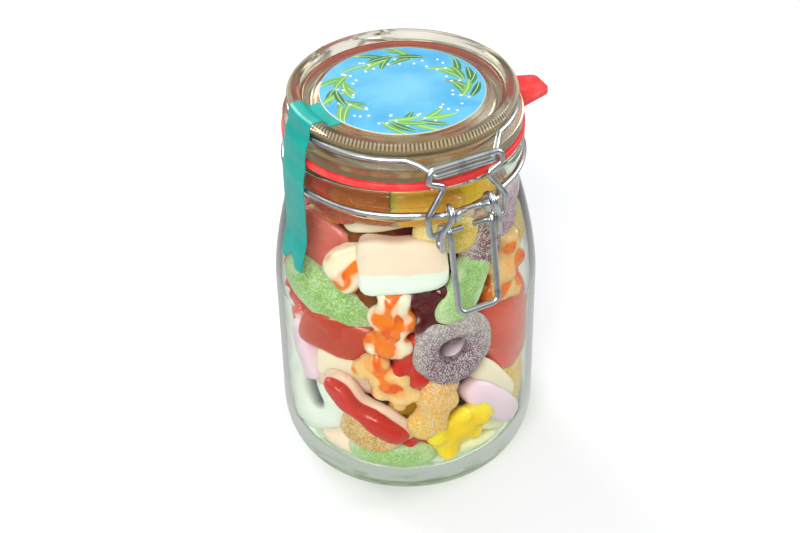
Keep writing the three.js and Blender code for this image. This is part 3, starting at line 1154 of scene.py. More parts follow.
def wire_rod(points: Sequence[Vector], radius: float, is_loop: bool) -> BMesh:
    """A round wire along points.

    Args:
        points: the wire's centreline.
        radius: the wire's radius.
        is_loop: whether its ends are joined.

    Returns:
        The wire, with its cut ends a little rounded.
    """
    curve = bpy.data.curves.new("wire_path", "CURVE")
    curve.dimensions = "3D"
    curve.bevel_depth = radius
    curve.bevel_resolution = 3
    curve.use_fill_caps = not is_loop
    spline = curve.splines.new("POLY")
    spline.points.add(len(points) - 1)
    for knot, point in zip(spline.points, points):
        knot.co = (*point, 1.0)
    spline.use_cyclic_u = is_loop
    bm = evaluated(curve)
    weld(bm)
    cut_edges = [edge for edge in bm.edges if any(len(face.verts) > 4 for face in edge.link_faces)]
    round_edges(bm, cut_edges, radius * 0.25, 2)
    return bm


def finished(
    bm: BMesh,
    name: str,
    body: Body,
    material: Material,
    stands_for: Sequence[str] = (),
) -> None:
    """Turns a bmesh in millimetres into a piece of the object, and reports it.

    Args:
        bm: the shape, which is freed.
        name: the piece's name.
        body: the body it rides on.
        material: its finish.
        stands_for: the plain solids that it replaces.
    """
    bmesh.ops.scale(bm, vec=(MM, MM, MM), verts=bm.verts)
    mesh = as_mesh(bm, name)
    mesh.shade_smooth()
    mesh.set_sharp_from_angle(angle=CRISP_TURN)
    mesh.materials.append(material)
    piece = linked(name, mesh)
    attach(piece, body.value)
    if stands_for:
        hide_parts(*stands_for)
    log.info("%s: %d faces, on %s", name, len(mesh.polygons), body.value)


# ---- glassware


@dataclass(frozen=True)
class JarGlass:
    """The jar: a rounded foot, a straight body, a rounded shoulder, a bead and a lip."""

    body_radius: float = 55.0
    foot_radius: float = 45.0
    foot_rise: float = 20.0
    foot_hollow: float = FOOT_HOLLOW
    shoulder_z: float = 86.5
    neck_z: float = 129.5
    neck_radius: float = 46.6
    bead_z: float = 140.5
    bead_radius: float = 47.6
    lip_radius: float = 48.4
    lip_z: float = 147.2
    top_z: float = 155.3
    mouth_radius: float = 42.0
    mouth_z: float = 145.5
    wall: float = 2.5
    floor: float = 5.5
    floor_radius: float = 41.0
    floor_rise: float = 17.5
    shoulder_out: float = 1.73
    shoulder_up: float = 1.41
    body_steps: int = 4
    shoulder_steps: int = 24
    steps: int = 160

    def outer_radius(self, z: float) -> float:
        """Outside radius of the body, shoulder and neck at a height."""
        if z <= self.foot_rise:
            rise = 1.0 - max(z, 0.0) / self.foot_rise
            return self.foot_radius + (self.body_radius - self.foot_radius) * math.sqrt(1.0 - rise * rise)
        if z <= self.shoulder_z:
            return self.body_radius
        share = min(1.0, (z - self.shoulder_z) / (self.neck_z - self.shoulder_z))
        turn = math.asin(share ** (1.0 / self.shoulder_up))
        return self.neck_radius + (self.body_radius - self.neck_radius) * math.cos(turn) ** self.shoulder_out

    def inner_radius(self, z: float) -> float:
        """Inside radius at a height, from the floor to the mouth."""
        if z <= self.floor + self.floor_rise:
            rise = 1.0 - max(z - self.floor, 0.0) / self.floor_rise
            reach = self.body_radius - self.wall - self.floor_radius
            return self.floor_radius + reach * math.sqrt(1.0 - rise * rise)
        if z <= self.bead_z:
            return self.outer_radius(z) - self.wall
        share = min(1.0, (z - self.bead_z) / (self.mouth_z - self.bead_z))
        return self.neck_radius - self.wall + (self.mouth_radius - self.neck_radius + self.wall) * share

    def lean(self, z: float) -> float:
        """How far the wall faces up at a height, in radians; negative at the foot."""
        gap = 1.5
        slope = (self.inner_radius(z + gap) - self.inner_radius(z - gap)) / (2.0 * gap)
        return math.atan(-slope)

    def build(self, glass: Material) -> None:
        """Makes the jar of its glass."""
        points = [Vector((r, 0.0, z)) for r, z in self._outside() + self._inside()]
        finished(turned(points, self.steps), "jar_walls", Body.JAR, glass, ["jar_glass"])

    def _outside(self) -> list[tuple[float, float]]:
        """Outline from the middle of the base up to the rim."""
        foot = [
            (0.0, self.foot_hollow),
            (self.foot_radius - 14.0, self.foot_hollow * 0.9),
            (self.foot_radius - 9.0, self.foot_hollow * 0.35),
            (self.foot_radius - 6.0, 0.0),
            (self.foot_radius, 0.0),
        ]
        heights = [self.foot_rise * (1.0 - math.cos(math.radians(a))) for a in range(9, 91, 9)]
        heights += spaced(self.foot_rise, self.shoulder_z, self.body_steps)[1:]
        heights += spaced(self.shoulder_z, self.neck_z, self.shoulder_steps)[1:]
        side = [(self.outer_radius(z), z) for z in heights]
        rim = outline(
            (self.neck_radius, self.neck_z),
            (self.neck_radius, self.bead_z - 2.0, 1.5),
            (self.bead_radius, self.bead_z - 1.0, 1.0),
            (self.bead_radius, self.bead_z + 1.0, 1.0),
            (self.neck_radius, self.bead_z + 2.0, 1.2),
            (self.neck_radius, self.lip_z - 0.6, 1.2),
            (self.lip_radius, self.lip_z + 0.8, 1.0),
            (self.lip_radius, self.top_z, 2.0),
            (self.mouth_radius, self.top_z, 1.2),
            (self.mouth_radius, self.mouth_z),
        )
        return foot + side + [(point.x, point.z) for point in rim[1:-1]]

    def _inside(self) -> list[tuple[float, float]]:
        """Outline from the mouth down to the middle of the floor."""
        mouth = [(self.mouth_radius, self.mouth_z), (self.mouth_radius + 0.5, self.mouth_z - 1.6)]
        heights = [self.bead_z, *spaced(self.neck_z, self.shoulder_z, self.shoulder_steps)]
        heights += spaced(self.shoulder_z, self.floor + self.floor_rise, self.body_steps)[1:]
        shares = [1.0 - math.cos(math.radians(a)) for a in range(81, -1, -9)]
        heights += [self.floor + self.floor_rise * share for share in shares]
        side = [(self.inner_radius(z), z) for z in heights]
        return mouth + side + [(self.floor_radius * 0.5, self.floor + 0.3), (0.0, self.floor + 0.5)]


@dataclass(frozen=True)
class LidGlass:
    """The lid: a flat deck, a raised rim with fine beads, a groove, a flange and a plug."""

    deck_z: float = 170.6
    deck_radius: float = 39.2
    rim_z: float = 174.0
    rim_inner: float = 41.8
    rim_radius: float = 45.9
    groove_z: float = GROOVE_Z
    groove_radius: float = 43.4
    groove_mouth: float = 44.9
    groove_half: float = 2.3
    flange_radius: float = 47.8
    flange_z: float = 163.9
    underside_z: float = 158.8
    plug_outer: float = 41.0
    plug_inner: float = 37.2
    plug_z: float = 153.6
    ceiling_z: float = 163.8
    bead_depth: float = 0.8
    bead_sink: float = 0.6
    bead_band: float = 1.7
    bead_drop: float = 2.4
    bead_steps: int = 2

    def build(self, glass: Material) -> None:
        """Makes the lid.

        Args:
            glass: its finish.
        """
        bm = turned(self._profile(), self.bead_steps * RIM_BEADS)
        self._press_beads(bm)
        finished(bm, "lid_disc", Body.LID, glass, ["lid_glass"])

    def _profile(self) -> list[Vector]:
        """Outline from the middle of the deck, over the rim and under to the ceiling."""
        return outline(
            (0.0, self.deck_z),
            (self.deck_radius - 5.0, self.deck_z),
            (self.deck_radius - 4.4, self.deck_z + 0.25, 0.3),
            (self.deck_radius - 3.8, self.deck_z, 0.3),
            (self.deck_radius + 0.2, self.deck_z, 0.8),
            (self.deck_radius + 1.4, self.rim_z - 0.6, 0.6),
            (self.rim_inner, self.rim_z, 0.7),
            (self.rim_radius - 1.8, self.rim_z, 0.3),
            (self.rim_radius - 1.3, self.rim_z - 0.35),
            (self.rim_radius - 0.8, self.rim_z - 0.75),
            (self.rim_radius - 0.35, self.rim_z - 1.3),
            (self.rim_radius - 0.1, self.rim_z - 2.0),
            (self.rim_radius - 0.1, self.rim_z - 3.1, 0.5),
            (self.groove_mouth, self.groove_z + self.groove_half, 0.5),
            (self.groove_radius, self.groove_z, 2.0),
            (self.groove_mouth, self.groove_z - self.groove_half, 0.5),
            (self.flange_radius, self.flange_z, 1.0),
            (self.flange_radius, self.underside_z, 0.9),
            (self.plug_outer, self.underside_z, 0.5),
            (self.plug_outer, self.plug_z, 0.9),
            (self.plug_inner, self.plug_z, 0.9),
            (self.plug_inner, self.ceiling_z, 1.8),
            (0.0, self.ceiling_z),
        )

    def _press_beads(self, bm: BMesh) -> None:
        """Presses a row of fine beads into the rim's sloping outer edge."""
        for vert in bm.verts:
            radius = math.hypot(vert.co.x, vert.co.y)
            drop = self.rim_z - vert.co.z
            if radius < self.rim_radius - self.bead_band or not 0.0 < drop < self.bead_drop:
                continue
            turn = math.atan2(vert.co.y, vert.co.x)
            press = 0.5 - 0.5 * math.cos(RIM_BEADS * turn)
            depth = self.bead_depth * press * math.sin(math.pi * drop / self.bead_drop)
            vert.co.x *= (radius - depth) / radius
            vert.co.y *= (radius - depth) / radius
            vert.co.z -= depth * self.bead_sink


# ---- soft pieces


@dataclass(frozen=True)
class SealRing:
    """The flat rubber ring between jar and lid, with its pull tab."""

    outer: float = 48.5
    inner: float = 42.4
    bottom_z: float = 155.6
    thickness: float = 2.9
    tab_root_width: float = 23.0
    tab_tip_width: float = 12.0
    tab_reach: float = 63.3
    tab_corner: float = 3.4
    tab_turn: float = math.radians(-3.0)
    steps: int = 120
    edge_round: float = 0.55

    def build(self, rubber: Material) -> None:
        """Makes the seal.

        Args:
            rubber: its finish.
        """
        bm = bmesh.new()
        root = math.asin(self.tab_root_width / 2.0 / self.outer)
        outside = self._loop(bm, self._outer_points(root))
        turns = spaced(root, root + FULL_TURN, len(outside))[:-1]
        inside = self._loop(bm, [corner.place for corner in ring_corners(self.inner, 0.0, turns)])
        bmesh.ops.bridge_loops(bm, edges=outside + inside)
        bmesh.ops.recalc_face_normals(bm, faces=bm.faces)
        lifted = bmesh.ops.extrude_face_region(bm, geom=bm.faces[:])["geom"]
        lifted_verts = [part for part in lifted if isinstance(part, BMVert)]
        bmesh.ops.translate(bm, verts=lifted_verts, vec=(0.0, 0.0, self.thickness))
        bmesh.ops.recalc_face_normals(bm, faces=bm.faces)
        round_edges(bm, [edge for edge in bm.edges if self._is_rim(edge)], self.edge_round, 3)
        bmesh.ops.rotate(bm, verts=bm.verts, matrix=Matrix.Rotation(self.tab_turn, 3, "Z"))
        bmesh.ops.translate(bm, verts=bm.verts, vec=(0.0, 0.0, self.bottom_z))
        finished(bm, "seal_band", Body.LID, rubber, ["seal_ring"])

    def _outer_points(self, root: float) -> list[Vector]:
        """Points round the outside and along the tab.

        Args:
            root: the turn in radians from the tab's middle to each side of its root.

        Returns:
            The points, from one side of the root all the way round.
        """
        ring = ring_corners(self.outer, 0.0, spaced(root, FULL_TURN - root, self.steps))
        half = self.tab_tip_width / 2.0
        tab = [Corner(self.tab_reach, y, 0.0, self.tab_corner) for y in (-half, half)]
        return bent_path([*ring, *tab, ring[0]])[:-1]

    @staticmethod
    def _loop(bm: BMesh, points: Sequence[Vector]) -> list[BMEdge]:
        """Adds a closed line of points and returns its edges."""
        verts = [bm.verts.new(point) for point in points]
        return [bm.edges.new((vert, verts[i - 1])) for i, vert in enumerate(verts)]

    @staticmethod
    def _is_rim(edge: BMEdge) -> bool:
        """True for a level edge where two faces meet sharply."""
        is_level = abs(edge.verts[0].co.z - edge.verts[1].co.z) < 1e-5
        return is_level and edge.calc_face_angle(0.0) > math.radians(60.0)


@dataclass(frozen=True)
class LidLabel:
    """The round paper label on the lid's deck."""

    radius: float = LABEL_RADIUS
    bottom_z: float = 170.9
    thickness: float = 0.5
    steps: int = 144

    def build(self, paper: Material) -> None:
        """Makes the label.

        Args:
            paper: its finish.
        """
        top = self.bottom_z + self.thickness
        points = outline(
            (0.0, self.bottom_z),
            (self.radius, self.bottom_z, 0.15),
            (self.radius, top, 0.2),
            (self.radius * 0.5, top),
            (0.0, top),
        )
        finished(turned(points, self.steps), "label_disc", Body.LID, paper, ["lid_label"])


@dataclass(frozen=True)
class PaperRibbon:
    """The paper ribbon stuck to the lid's deck, that runs over the rim and down the jar."""

    jar: JarGlass
    lid: LidGlass
    width: float = 17.5
    centre_y: float = -1.6
    thickness: float = 0.5
    gap: float = 0.3
    clear: float = 0.4
    label_gap: float = 0.3
    neck_ring_radius: float = 49.45
    tail_clear: float = 0.8
    tail_top_z: float = 120.0
    tail_z: float = 106.5
    tail_steps: int = 10
    notch_depth: float = 6.0
    cells_long: int = 90
    cells_wide: int = 12

    def build(self, paper: Material) -> None:
        """Makes the ribbon.

        Args:
            paper: its finish.
        """
        bm = bmesh.new()
        bmesh.ops.create_grid(bm, x_segments=self.cells_long, y_segments=self.cells_wide, size=0.5)
        route = np.array(self._route())
        lengths = np.cumsum([0.0, *np.linalg.norm(np.diff(route, axis=0), axis=1)])
        for vert in bm.verts:
            share, side = vert.co.x + 0.5, vert.co.y
            notch = self.notch_depth * (1.0 - min(1.0, abs(side) * 4.0)) * share**6
            along = share * lengths[-1] - notch
            radius, _, z = (np.interp(along, lengths, part) for part in route.T)
            y = self.centre_y + side * self.width
            vert.co = (-math.sqrt(radius**2 - y**2), y, z)
        bmesh.ops.recalc_face_normals(bm, faces=bm.faces)
        if sum(face.normal.x for face in bm.faces) > 0.0:
            bmesh.ops.reverse_faces(bm, faces=bm.faces)
        bmesh.ops.solidify(bm, geom=bm.faces[:], thickness=-self.thickness * 0.8)
        finished(bm, "ribbon_strip", Body.LID, paper, ["ribbon_sticker"])

    def _route(self) -> list[Vector]:
        """Middle line of the ribbon's inner face, as (distance from the axis, 0, height)."""
        lid, jar = self.lid, self.jar
        deck = lid.deck_z + self.gap
        fall = self.neck_ring_radius + self.tail_clear
        head = [
            (LABEL_RADIUS + self.label_gap, deck),
            (lid.deck_radius - self.clear, deck, 1.5),
            (lid.deck_radius + 1.0, lid.rim_z - 0.7, 1.2),
            (lid.rim_inner - 0.4, lid.rim_z + self.gap, 1.2),
            (lid.rim_radius + 0.1, lid.rim_z + self.gap, 1.2),
            (lid.rim_radius + 0.5, lid.rim_z - 3.0, 3.0),
            (46.8, lid.groove_z, 3.0),
            (lid.flange_radius + self.clear + 0.1, lid.flange_z, 3.0),
            (49.0, 158.5, 4.0),
            (49.1, 154.8, 4.0),
            (fall, 149.0, 5.0),
            (fall, 141.0, 6.0),
            (fall - 0.1, 126.0, 10.0),
        ]
        heights = spaced(self.tail_top_z, self.tail_z, self.tail_steps)
        tail = [(max(fall, jar.outer_radius(z) + 2.0 * self.clear), z) for z in heights]
        return outline(*head, *tail)


# ---- wirework


@dataclass(frozen=True)
class Pivot:
    """An axis along X that wire is wound on or turns about."""

    y: float
    z: float

    def around(self, radius: float, side: int, turn: float, x: float) -> Vector:
        """A point on a circle about the axis.

        Args:
            radius: the circle's radius.
            side: the side of Y that turn 0 faces, 1 or -1.
            turn: the turn in radians, which grows downwards.
            x: the place along the axis.

        Returns:
            The point.
        """
        return Vector((x, self.y + side * radius * math.cos(turn), self.z - radius * math.sin(turn)))

    def helix(
        self, radius: float, side: int, turns: tuple[float, float], xs: tuple[float, float]
    ) -> list[Corner]:
        """Corners of a helix about the axis.

        Args:
            radius: its radius.
            side: the side of Y that turn 0 faces, 1 or -1.
            turns: its first and last turn in degrees.
            xs: its first and last place along the axis.

        Returns:
            The corners.
        """
        first, last = (math.radians(turn) for turn in turns)
        steps = max(4, round(abs(last - first) / BEND_STEP))
        places = zip(spaced(first, last, steps), spaced(*xs, steps))
        return [corner_at(self.around(radius, side, turn, x)) for turn, x in places]


LEVER_PIVOT = Pivot(-53.6, 147.5)
CLIP_PIVOT = Pivot(-52.0, 138.0)
HINGE_PIVOT = Pivot(53.5, 154.0)


@dataclass(frozen=True)
class Wirework:
    """The two wire rings, the lever and the clip."""

    radius: float = 1.25
    coil_radius: float = 2.8
    neck_ring_radius: float = 48.2
    neck_ring_z: float = 144.5
    neck_arc_end: float = 65.5
    lid_ring_radius: float = 45.0
    lid_ring_z: float = GROOVE_Z
    lid_arc: tuple[float, float] = (65.0, -63.5)
    eye_radius: float = 2.85
    eye_bottom_z: float = 133.9
    outer_x: float = 12.4
    leg_top_x: float = 9.2
    cut_end_turn: float = math.radians(-25.0)
    clip_bar: tuple[float, float] = (-49.7, 166.4)
    clip_corners: tuple[tuple[float, float, float], ...] = (
        (2.6, 0.0, 0.0),
        (16.4, 0.0, 2.6),
        (17.0, 8.8, 4.0),
        (9.2, 20.2, 1.6),
        (15.7, 23.2, 1.5),
    )

    def build(self, wire: Material) -> None:
        """Makes the four wires.

        Args:
            wire: their finish.
        """
        neck = wire_rod(bent_path(self._neck_corners()), self.radius, True)
        finished(neck, "neck_ring_wire", Body.JAR, wire, ["neck_wire"])
        for name, body, half, stands_for in (
            ("lid_ring_wire", Body.LID, self._lid_half(), "lid_wire"),
            ("lever_wire", Body.LEVER, self._lever_half(), "lever"),
            ("clip_wire", Body.CLIP, self._clip_half(), "clip"),
        ):
            whole = [*half, *(corner.mirrored() for corner in reversed(half))]
            rod = wire_rod(bent_path(whole), self.radius, False)
            finished(rod, name, body, wire, [stands_for])

    @staticmethod
    def _arc(radius: float, z: float, first: float, last: float) -> list[Corner]:
        """Corners of a ring between two angles in degrees, measured from +X."""
        degrees = spaced(first, last, round(abs(last - first) / 3.0))
        return ring_corners(radius, z, [math.radians(a) for a in degrees])

    def _neck_corners(self) -> list[Corner]:
        """The ring round the neck, with a bar for the lever and a bar for the lid."""
        front = [Corner(16.6, -46.0, 144.7, 4.0), Corner(11.8, LEVER_PIVOT.y, LEVER_PIVOT.z, 2.5)]
        rear = [
            Corner(16.2, 47.4, 144.8, 3.0),
            Corner(12.8, 53.0, 148.6, 3.0),
            Corner(12.2, HINGE_PIVOT.y, HINGE_PIVOT.z, 2.4),
        ]
        end = self.neck_arc_end
        return [
            *self._arc(self.neck_ring_radius, self.neck_ring_z, -end, end),
            *rear,
            *(corner.mirrored() for corner in reversed(rear)),
            *self._arc(self.neck_ring_radius, self.neck_ring_z, 180.0 - end, 180.0 + end),
            *(corner.mirrored() for corner in front),
            *reversed(front),
        ]

    def _lid_half(self) -> list[Corner]:
        """Right half of the lid's ring, from its coil on the rear bar to its front bar."""
        return [
            *HINGE_PIVOT.helix(self.coil_radius, 1, (390.0, 0.0), (5.0, 8.1)),
            Corner(8.2, HINGE_PIVOT.y + self.coil_radius, 161.2, 3.0),
            Corner(9.0, 53.2, 166.0, 3.0),
            Corner(14.4, 45.9, self.lid_ring_z, 3.0),
            *self._arc(self.lid_ring_radius, self.lid_ring_z, *self.lid_arc),
            Corner(17.0, -44.2, 166.6, 3.0),
            Corner(12.2, -49.6, 163.0, 1.8),
        ]

    def _lever_half(self) -> list[Corner]:
        """Right half of the lever: cut end, coil, eye and leg."""
        step = self.leg_top_x - self.outer_x
        side_xs = (self.outer_x + 0.4 * step, self.outer_x + 0.6 * step)
        eye_foot = Pivot(CLIP_PIVOT.y, self.eye_bottom_z)
        cut_bend = LEVER_PIVOT.around(self.coil_radius, -1, self.cut_end_turn, 6.4)
        return [
            corner_at(LEVER_PIVOT.around(self.coil_radius, -1, self.cut_end_turn, 3.4)),
            Corner(cut_bend.x, cut_bend.y, cut_bend.z, 1.3),
            *LEVER_PIVOT.helix(self.coil_radius, -1, (30.0, 360.0), (6.6, 9.6)),
            Corner(10.0, LEVER_PIVOT.y - self.coil_radius, LEVER_PIVOT.z - 1.8, 2.0),
            Corner(self.outer_x, CLIP_PIVOT.y - self.eye_radius, 140.6, 3.0),
            *eye_foot.helix(self.eye_radius, -1, (0.0, 180.0), (self.outer_x, side_xs[0])),
            *CLIP_PIVOT.helix(self.eye_radius, -1, (180.0, 360.0), (side_xs[1], self.leg_top_x)),
            Corner(8.8, -61.5, 104.5, 3.2),
        ]

    def _clip_half(self) -> list[Corner]:
        """Right half of the clip, drawn in its own plane from its pivot up to its bar."""
        pivot = Vector((0.0, CLIP_PIVOT.y, CLIP_PIVOT.z))
        rise = Vector((0.0, *self.clip_bar)) - pivot
        corners = [*self.clip_corners, (15.8, rise.length, 2.8)]
        up = rise.normalized()
        places = [(Vector((x, 0.0, 0.0)) + pivot + up * s, bend) for x, s, bend in corners]
        return [Corner(place.x, place.y, place.z, bend) for place, bend in places]


# ---- sweets


@dataclass(frozen=True)
class Lump:
    """One round lump of a moulded figure: its centre and its half sizes."""

    x: float
    y: float
    z: float
    rx: float
    ry: float
    rz: float

    @property
    def matrix(self) -> Matrix:
        """What turns a ball of radius 1 into the lump."""
        half_sizes = Vector((self.rx, self.ry, self.rz))
        return Matrix.LocRotScale(Vector((self.x, self.y, self.z)), None, half_sizes)

    def mirrored(self) -> "Lump":
        """The same lump on the other side, in Y."""
        return Lump(self.x, -self.y, self.z, self.rx, self.ry, self.rz)


def fused(lumps: Sequence[Lump], voxel: float, smoothing: int) -> BMesh:
    """Joins lumps into one smooth skin.

    Args:
        lumps: the lumps.
        voxel: the size of the skin's faces.
        smoothing: how often the skin is smoothed.

    Returns:
        The skin.
    """
    bm = bmesh.new()
    for lump in lumps:
        bmesh.ops.create_icosphere(bm, subdivisions=3, radius=1.0, matrix=lump.matrix)
    return one_skin(bm, voxel, smoothing)


def one_skin(bm: BMesh, voxel: float, smoothing: int) -> BMesh:
    """Turns overlapping bodies into one closed, smoothed skin.

    Args:
        bm: the bodies, which are used up.
        voxel: the size of the skin's faces.
        smoothing: how often the skin is smoothed.

    Returns:
        The skin.
    """

    def add_skin(holder: Object) -> None:
        """Adds the modifiers that fuse and smooth the bodies."""
        skin = holder.modifiers.new("skin", "REMESH")
        skin.mode = "VOXEL"
        skin.voxel_size = voxel
        soft = holder.modifiers.new("soft", "SMOOTH")
        soft.factor = 0.5
        soft.iterations = smoothing

    return evaluated(as_mesh(bm, "bodies"), add_skin)


def add_block(bm: BMesh, size: Vector, power: float, cuts: int = 9, lift: float = 0.0) -> list[BMVert]:
    """Adds a block whose edges are rounded all over.

    Args:
        bm: what it is added to.
        size: its length, width and thickness.
        power: 2 gives an egg, and larger numbers a squarer block.
        cuts: how finely each side is divided.
        lift: the height of its middle.

    Returns:
        Its points.
    """
    before = len(bm.verts)
    cube = bmesh.ops.create_cube(bm, size=2.0)["verts"]
    edges = list(dict.fromkeys(edge for vert in cube for edge in vert.link_edges))
    bmesh.ops.subdivide_edges(bm, edges=edges, cuts=cuts, use_grid_fill=True)
    added = list(bm.verts)[before:]
    for vert in added:
        reach = sum(abs(part) ** power for part in vert.co) ** (1.0 / power)
        vert.co = Vector([part / reach * side / 2.0 for part, side in zip(vert.co, size)])
        vert.co.z += lift
    return added


@dataclass(frozen=True)
class Mould:
    """A kind of sweet: its shape about its own middle, with +Z on the side that shows."""

    length: float
    width: float
    thickness: float
    hug: float = 0.6
    border: float = 2.0

    @property
    def size(self) -> Vector:
        """Its length, width and thickness."""
        return Vector((self.length, self.width, self.thickness))

    def shape(self) -> BMesh:
        """Builds the shape in millimetres."""
        raise NotImplementedError

    def lower(self, place: Vector) -> float:
        """How far a point lies inside the lower layer, in millimetres."""
        return -place.z - self.border

    def foot_tint(self, sweet: "Sweet", place: Vector) -> Vector:
        """The lower layer's tint at a point."""
        return Vector(sweet.lower_tint.light)

    def shade(self, place: Vector) -> float:
        """How bright the sweet's painted shade leaves it at a point, from 0 to 1."""
        return 1.0

    def cast(self) -> Mesh:
        """Builds the shape once, with each point's own place and form stored on it."""
        bm = self.shape()
        local = bm.verts.layers.float_vector.new(Mark.LOCAL.value)
        form = bm.verts.layers.float_vector.new(Mark.FORM.value)
        for vert in bm.verts:
            x, y = 2.0 * vert.co.x / self.length, 2.0 * vert.co.y / self.width
            vert[local] = vert.co
            vert[form] = (self.lower(vert.co), (x**4 + y**4) ** 0.25, 0.0)
        return as_mesh(bm, type(self).__name__)


@dataclass(frozen=True)
class BlockMould(Mould):
    """A chunky block in two layers, a little narrower at one end."""

    power: float = 6.0
    taper: float = 0.12

    def shape(self) -> BMesh:
        """Builds the block."""
        bm = bmesh.new()
        for vert in add_block(bm, self.size, self.power):
            vert.co.y *= 1.0 - self.taper * vert.co.x / (self.length / 2.0)
        return bm

    def lower(self, place: Vector) -> float:
        """How far a point lies inside the lower layer, in millimetres."""
        return -place.y - self.border


@dataclass(frozen=True)
class PillowMould(Mould):
    """A soft oval, which may be bowed, ridged and narrower at one end."""

    power: float = 2.6
    bow: float = 0.0
    taper: float = 0.0
    ridge: float = 0.0

    def shape(self) -> BMesh:
        """Builds the pillow."""
        bm = bmesh.new()
        for vert in add_block(bm, self.size, self.power):
            share = 2.0 * vert.co.x / self.length
            side = 2.0 * vert.co.y / self.width
            vert.co.z += self.ridge * math.cos(2.0 * math.pi * side) * max(0.0, 1.0 - share * share)
            vert.co.y = vert.co.y * (1.0 + self.taper * share) + self.bow * (share * share - 0.4)
        return bm


@dataclass(frozen=True)
class CushionMould(Mould):
    """A jelly dome on a thin, slightly wider sheet of foam, with a waist if one is given."""

    power: float = 3.0
    overhang: float = 1.0
    waist: float = 0.0
    waist_x: float = -3.0
    waist_reach: float = 7.0
    foot: float = 3.2
    cuts: int = 11

    def shape(self) -> BMesh:
        """Builds the dome and the sheet."""
        bm = bmesh.new()
        inset = 2.0 * self.overhang
        dome = Vector((self.length - inset, self.width - inset, self.thickness))
        sheet = Vector((self.length, self.width, self.foot))
        add_block(bm, dome, self.power, self.cuts)
        add_block(bm, sheet, self.power, self.cuts, lift=self.foot / 2.0 - self.thickness / 2.0)
        for vert in bm.verts:
            share = (vert.co.x - self.waist_x) / self.waist_reach
            vert.co.y *= 1.0 - self.waist * math.exp(-(share**2))
        return one_skin(bm, voxel=0.8, smoothing=1)

    def lower(self, place: Vector) -> float:
        """How far a point lies inside the sheet, in millimetres."""
        return self.foot - self.thickness / 2.0 - place.z


@dataclass(frozen=True)
class RingMould(Mould):
    """A sugared ring with a stubby body below it."""

    hole: float = 6.0
    lumps: int = 24

    def shape(self) -> BMesh:
        """Builds the ring and its body."""
        middle = (self.width / 2.0 + self.hole) / 2.0
        tube = self.width / 2.0 - middle
        ring_x = self.length / 2.0 - self.width / 2.0
        ring = [
            Lump(ring_x + middle * math.cos(a), middle * math.sin(a), 0.0, tube, tube, self.thickness / 2.0)
            for a in spaced(0.0, FULL_TURN, self.lumps)[:-1]
        ]
        foot = -self.length / 2.0
        body = [
            Lump(foot + 30.0, 0.0, -0.5, 6.0, 8.0, 5.0),
            Lump(foot + 22.0, 0.0, -0.5, 8.0, 9.6, 5.6),
            Lump(foot + 14.0, 0.0, -0.5, 8.0, 7.6, 5.6),
            Lump(foot + 8.0, 0.6, -0.5, 8.0, 9.0, 5.2),
        ]
        return fused([*ring, *body], voxel=0.95, smoothing=3)

    def lower(self, place: Vector) -> float:
        """How far a point lies inside the body, in millimetres."""
        return self.length / 2.0 - self.width + 1.0 - place.x

    def foot_tint(self, sweet: "Sweet", place: Vector) -> Vector:
        """The body's tint, from orange at the ring to yellow at the foot."""
        share = min(max((place.x + self.length / 2.0) / (self.length - self.width), 0.0), 1.0)
        return Vector(Tint.YELLOW.light).lerp(Vector(sweet.lower_tint.light), share)


@dataclass(frozen=True)
class ArchMould(Mould):
    """A foam arch with its feet joined, so that only a narrow slot shows in its middle, with painted shade
    down in the slot.
    """

    slot: float = 1.18
    slot_blur: float = 2.2
    # slot_light is the brightness that painted shade leaves in the slot
    slot_light: float = 0.25

    @property
    def arm(self) -> float:
        """Half the width of the band that the arch is bent from."""
        return self.width / (2.0 + 2.0 * self.slot)

    def shape(self) -> BMesh:
        """Builds the arch."""
        arm = self.arm
        reach = arm * self.slot
        half = self.thickness / 2.0
        bend_x = self.length / 2.0 - arm - reach
        lumps = []
        for i in range(7):
            x = bend_x * (i / 3.0 - 1.0)
            lumps += [Lump(x, side * reach, 0.0, arm, arm, half) for side in (-1, 1)]
        for i in range(14):
            turn = FULL_TURN * (i + 0.5) / 14.0
            middle = math.copysign(bend_x, math.cos(turn))
            lumps.append(Lump(middle + reach * math.cos(turn), reach * math.sin(turn), 0.0, arm, arm, half))
        return fused(lumps, voxel=0.9, smoothing=2)

    def shade(self, place: Vector) -> float:
        """How bright the sweet is at a point: painted shade dims it down in the slot."""
        past = max(abs(place.x) - self.length / 2.0 + self.arm * (1.0 + self.slot), 0.0)
        share = (math.hypot(past, place.y) - self.arm * (self.slot - 1.0)) / self.slot_blur
        return self.slot_light + (1.0 - self.slot_light) * min(max(share, 0.0), 1.0)


@dataclass(frozen=True)
class FigureMould(Mould):
    """A moulded animal, given by its lumps on the middle line and on one side of it.

    Attributes:
        drawn_length: the length that the lumps are drawn at.
    """

    middle: tuple[Lump, ...] = ()
    one_side: tuple[Lump, ...] = ()
    drawn_length: float = 24.0

    def shape(self) -> BMesh:
        """Builds the animal."""
        other_side = [lump.mirrored() for lump in self.one_side]
        bm = fused([*self.middle, *self.one_side, *other_side], voxel=0.95, smoothing=5)
        unit = self.length / self.drawn_length
        bmesh.ops.scale(bm, vec=(unit, unit, unit), verts=bm.verts)
        return bm


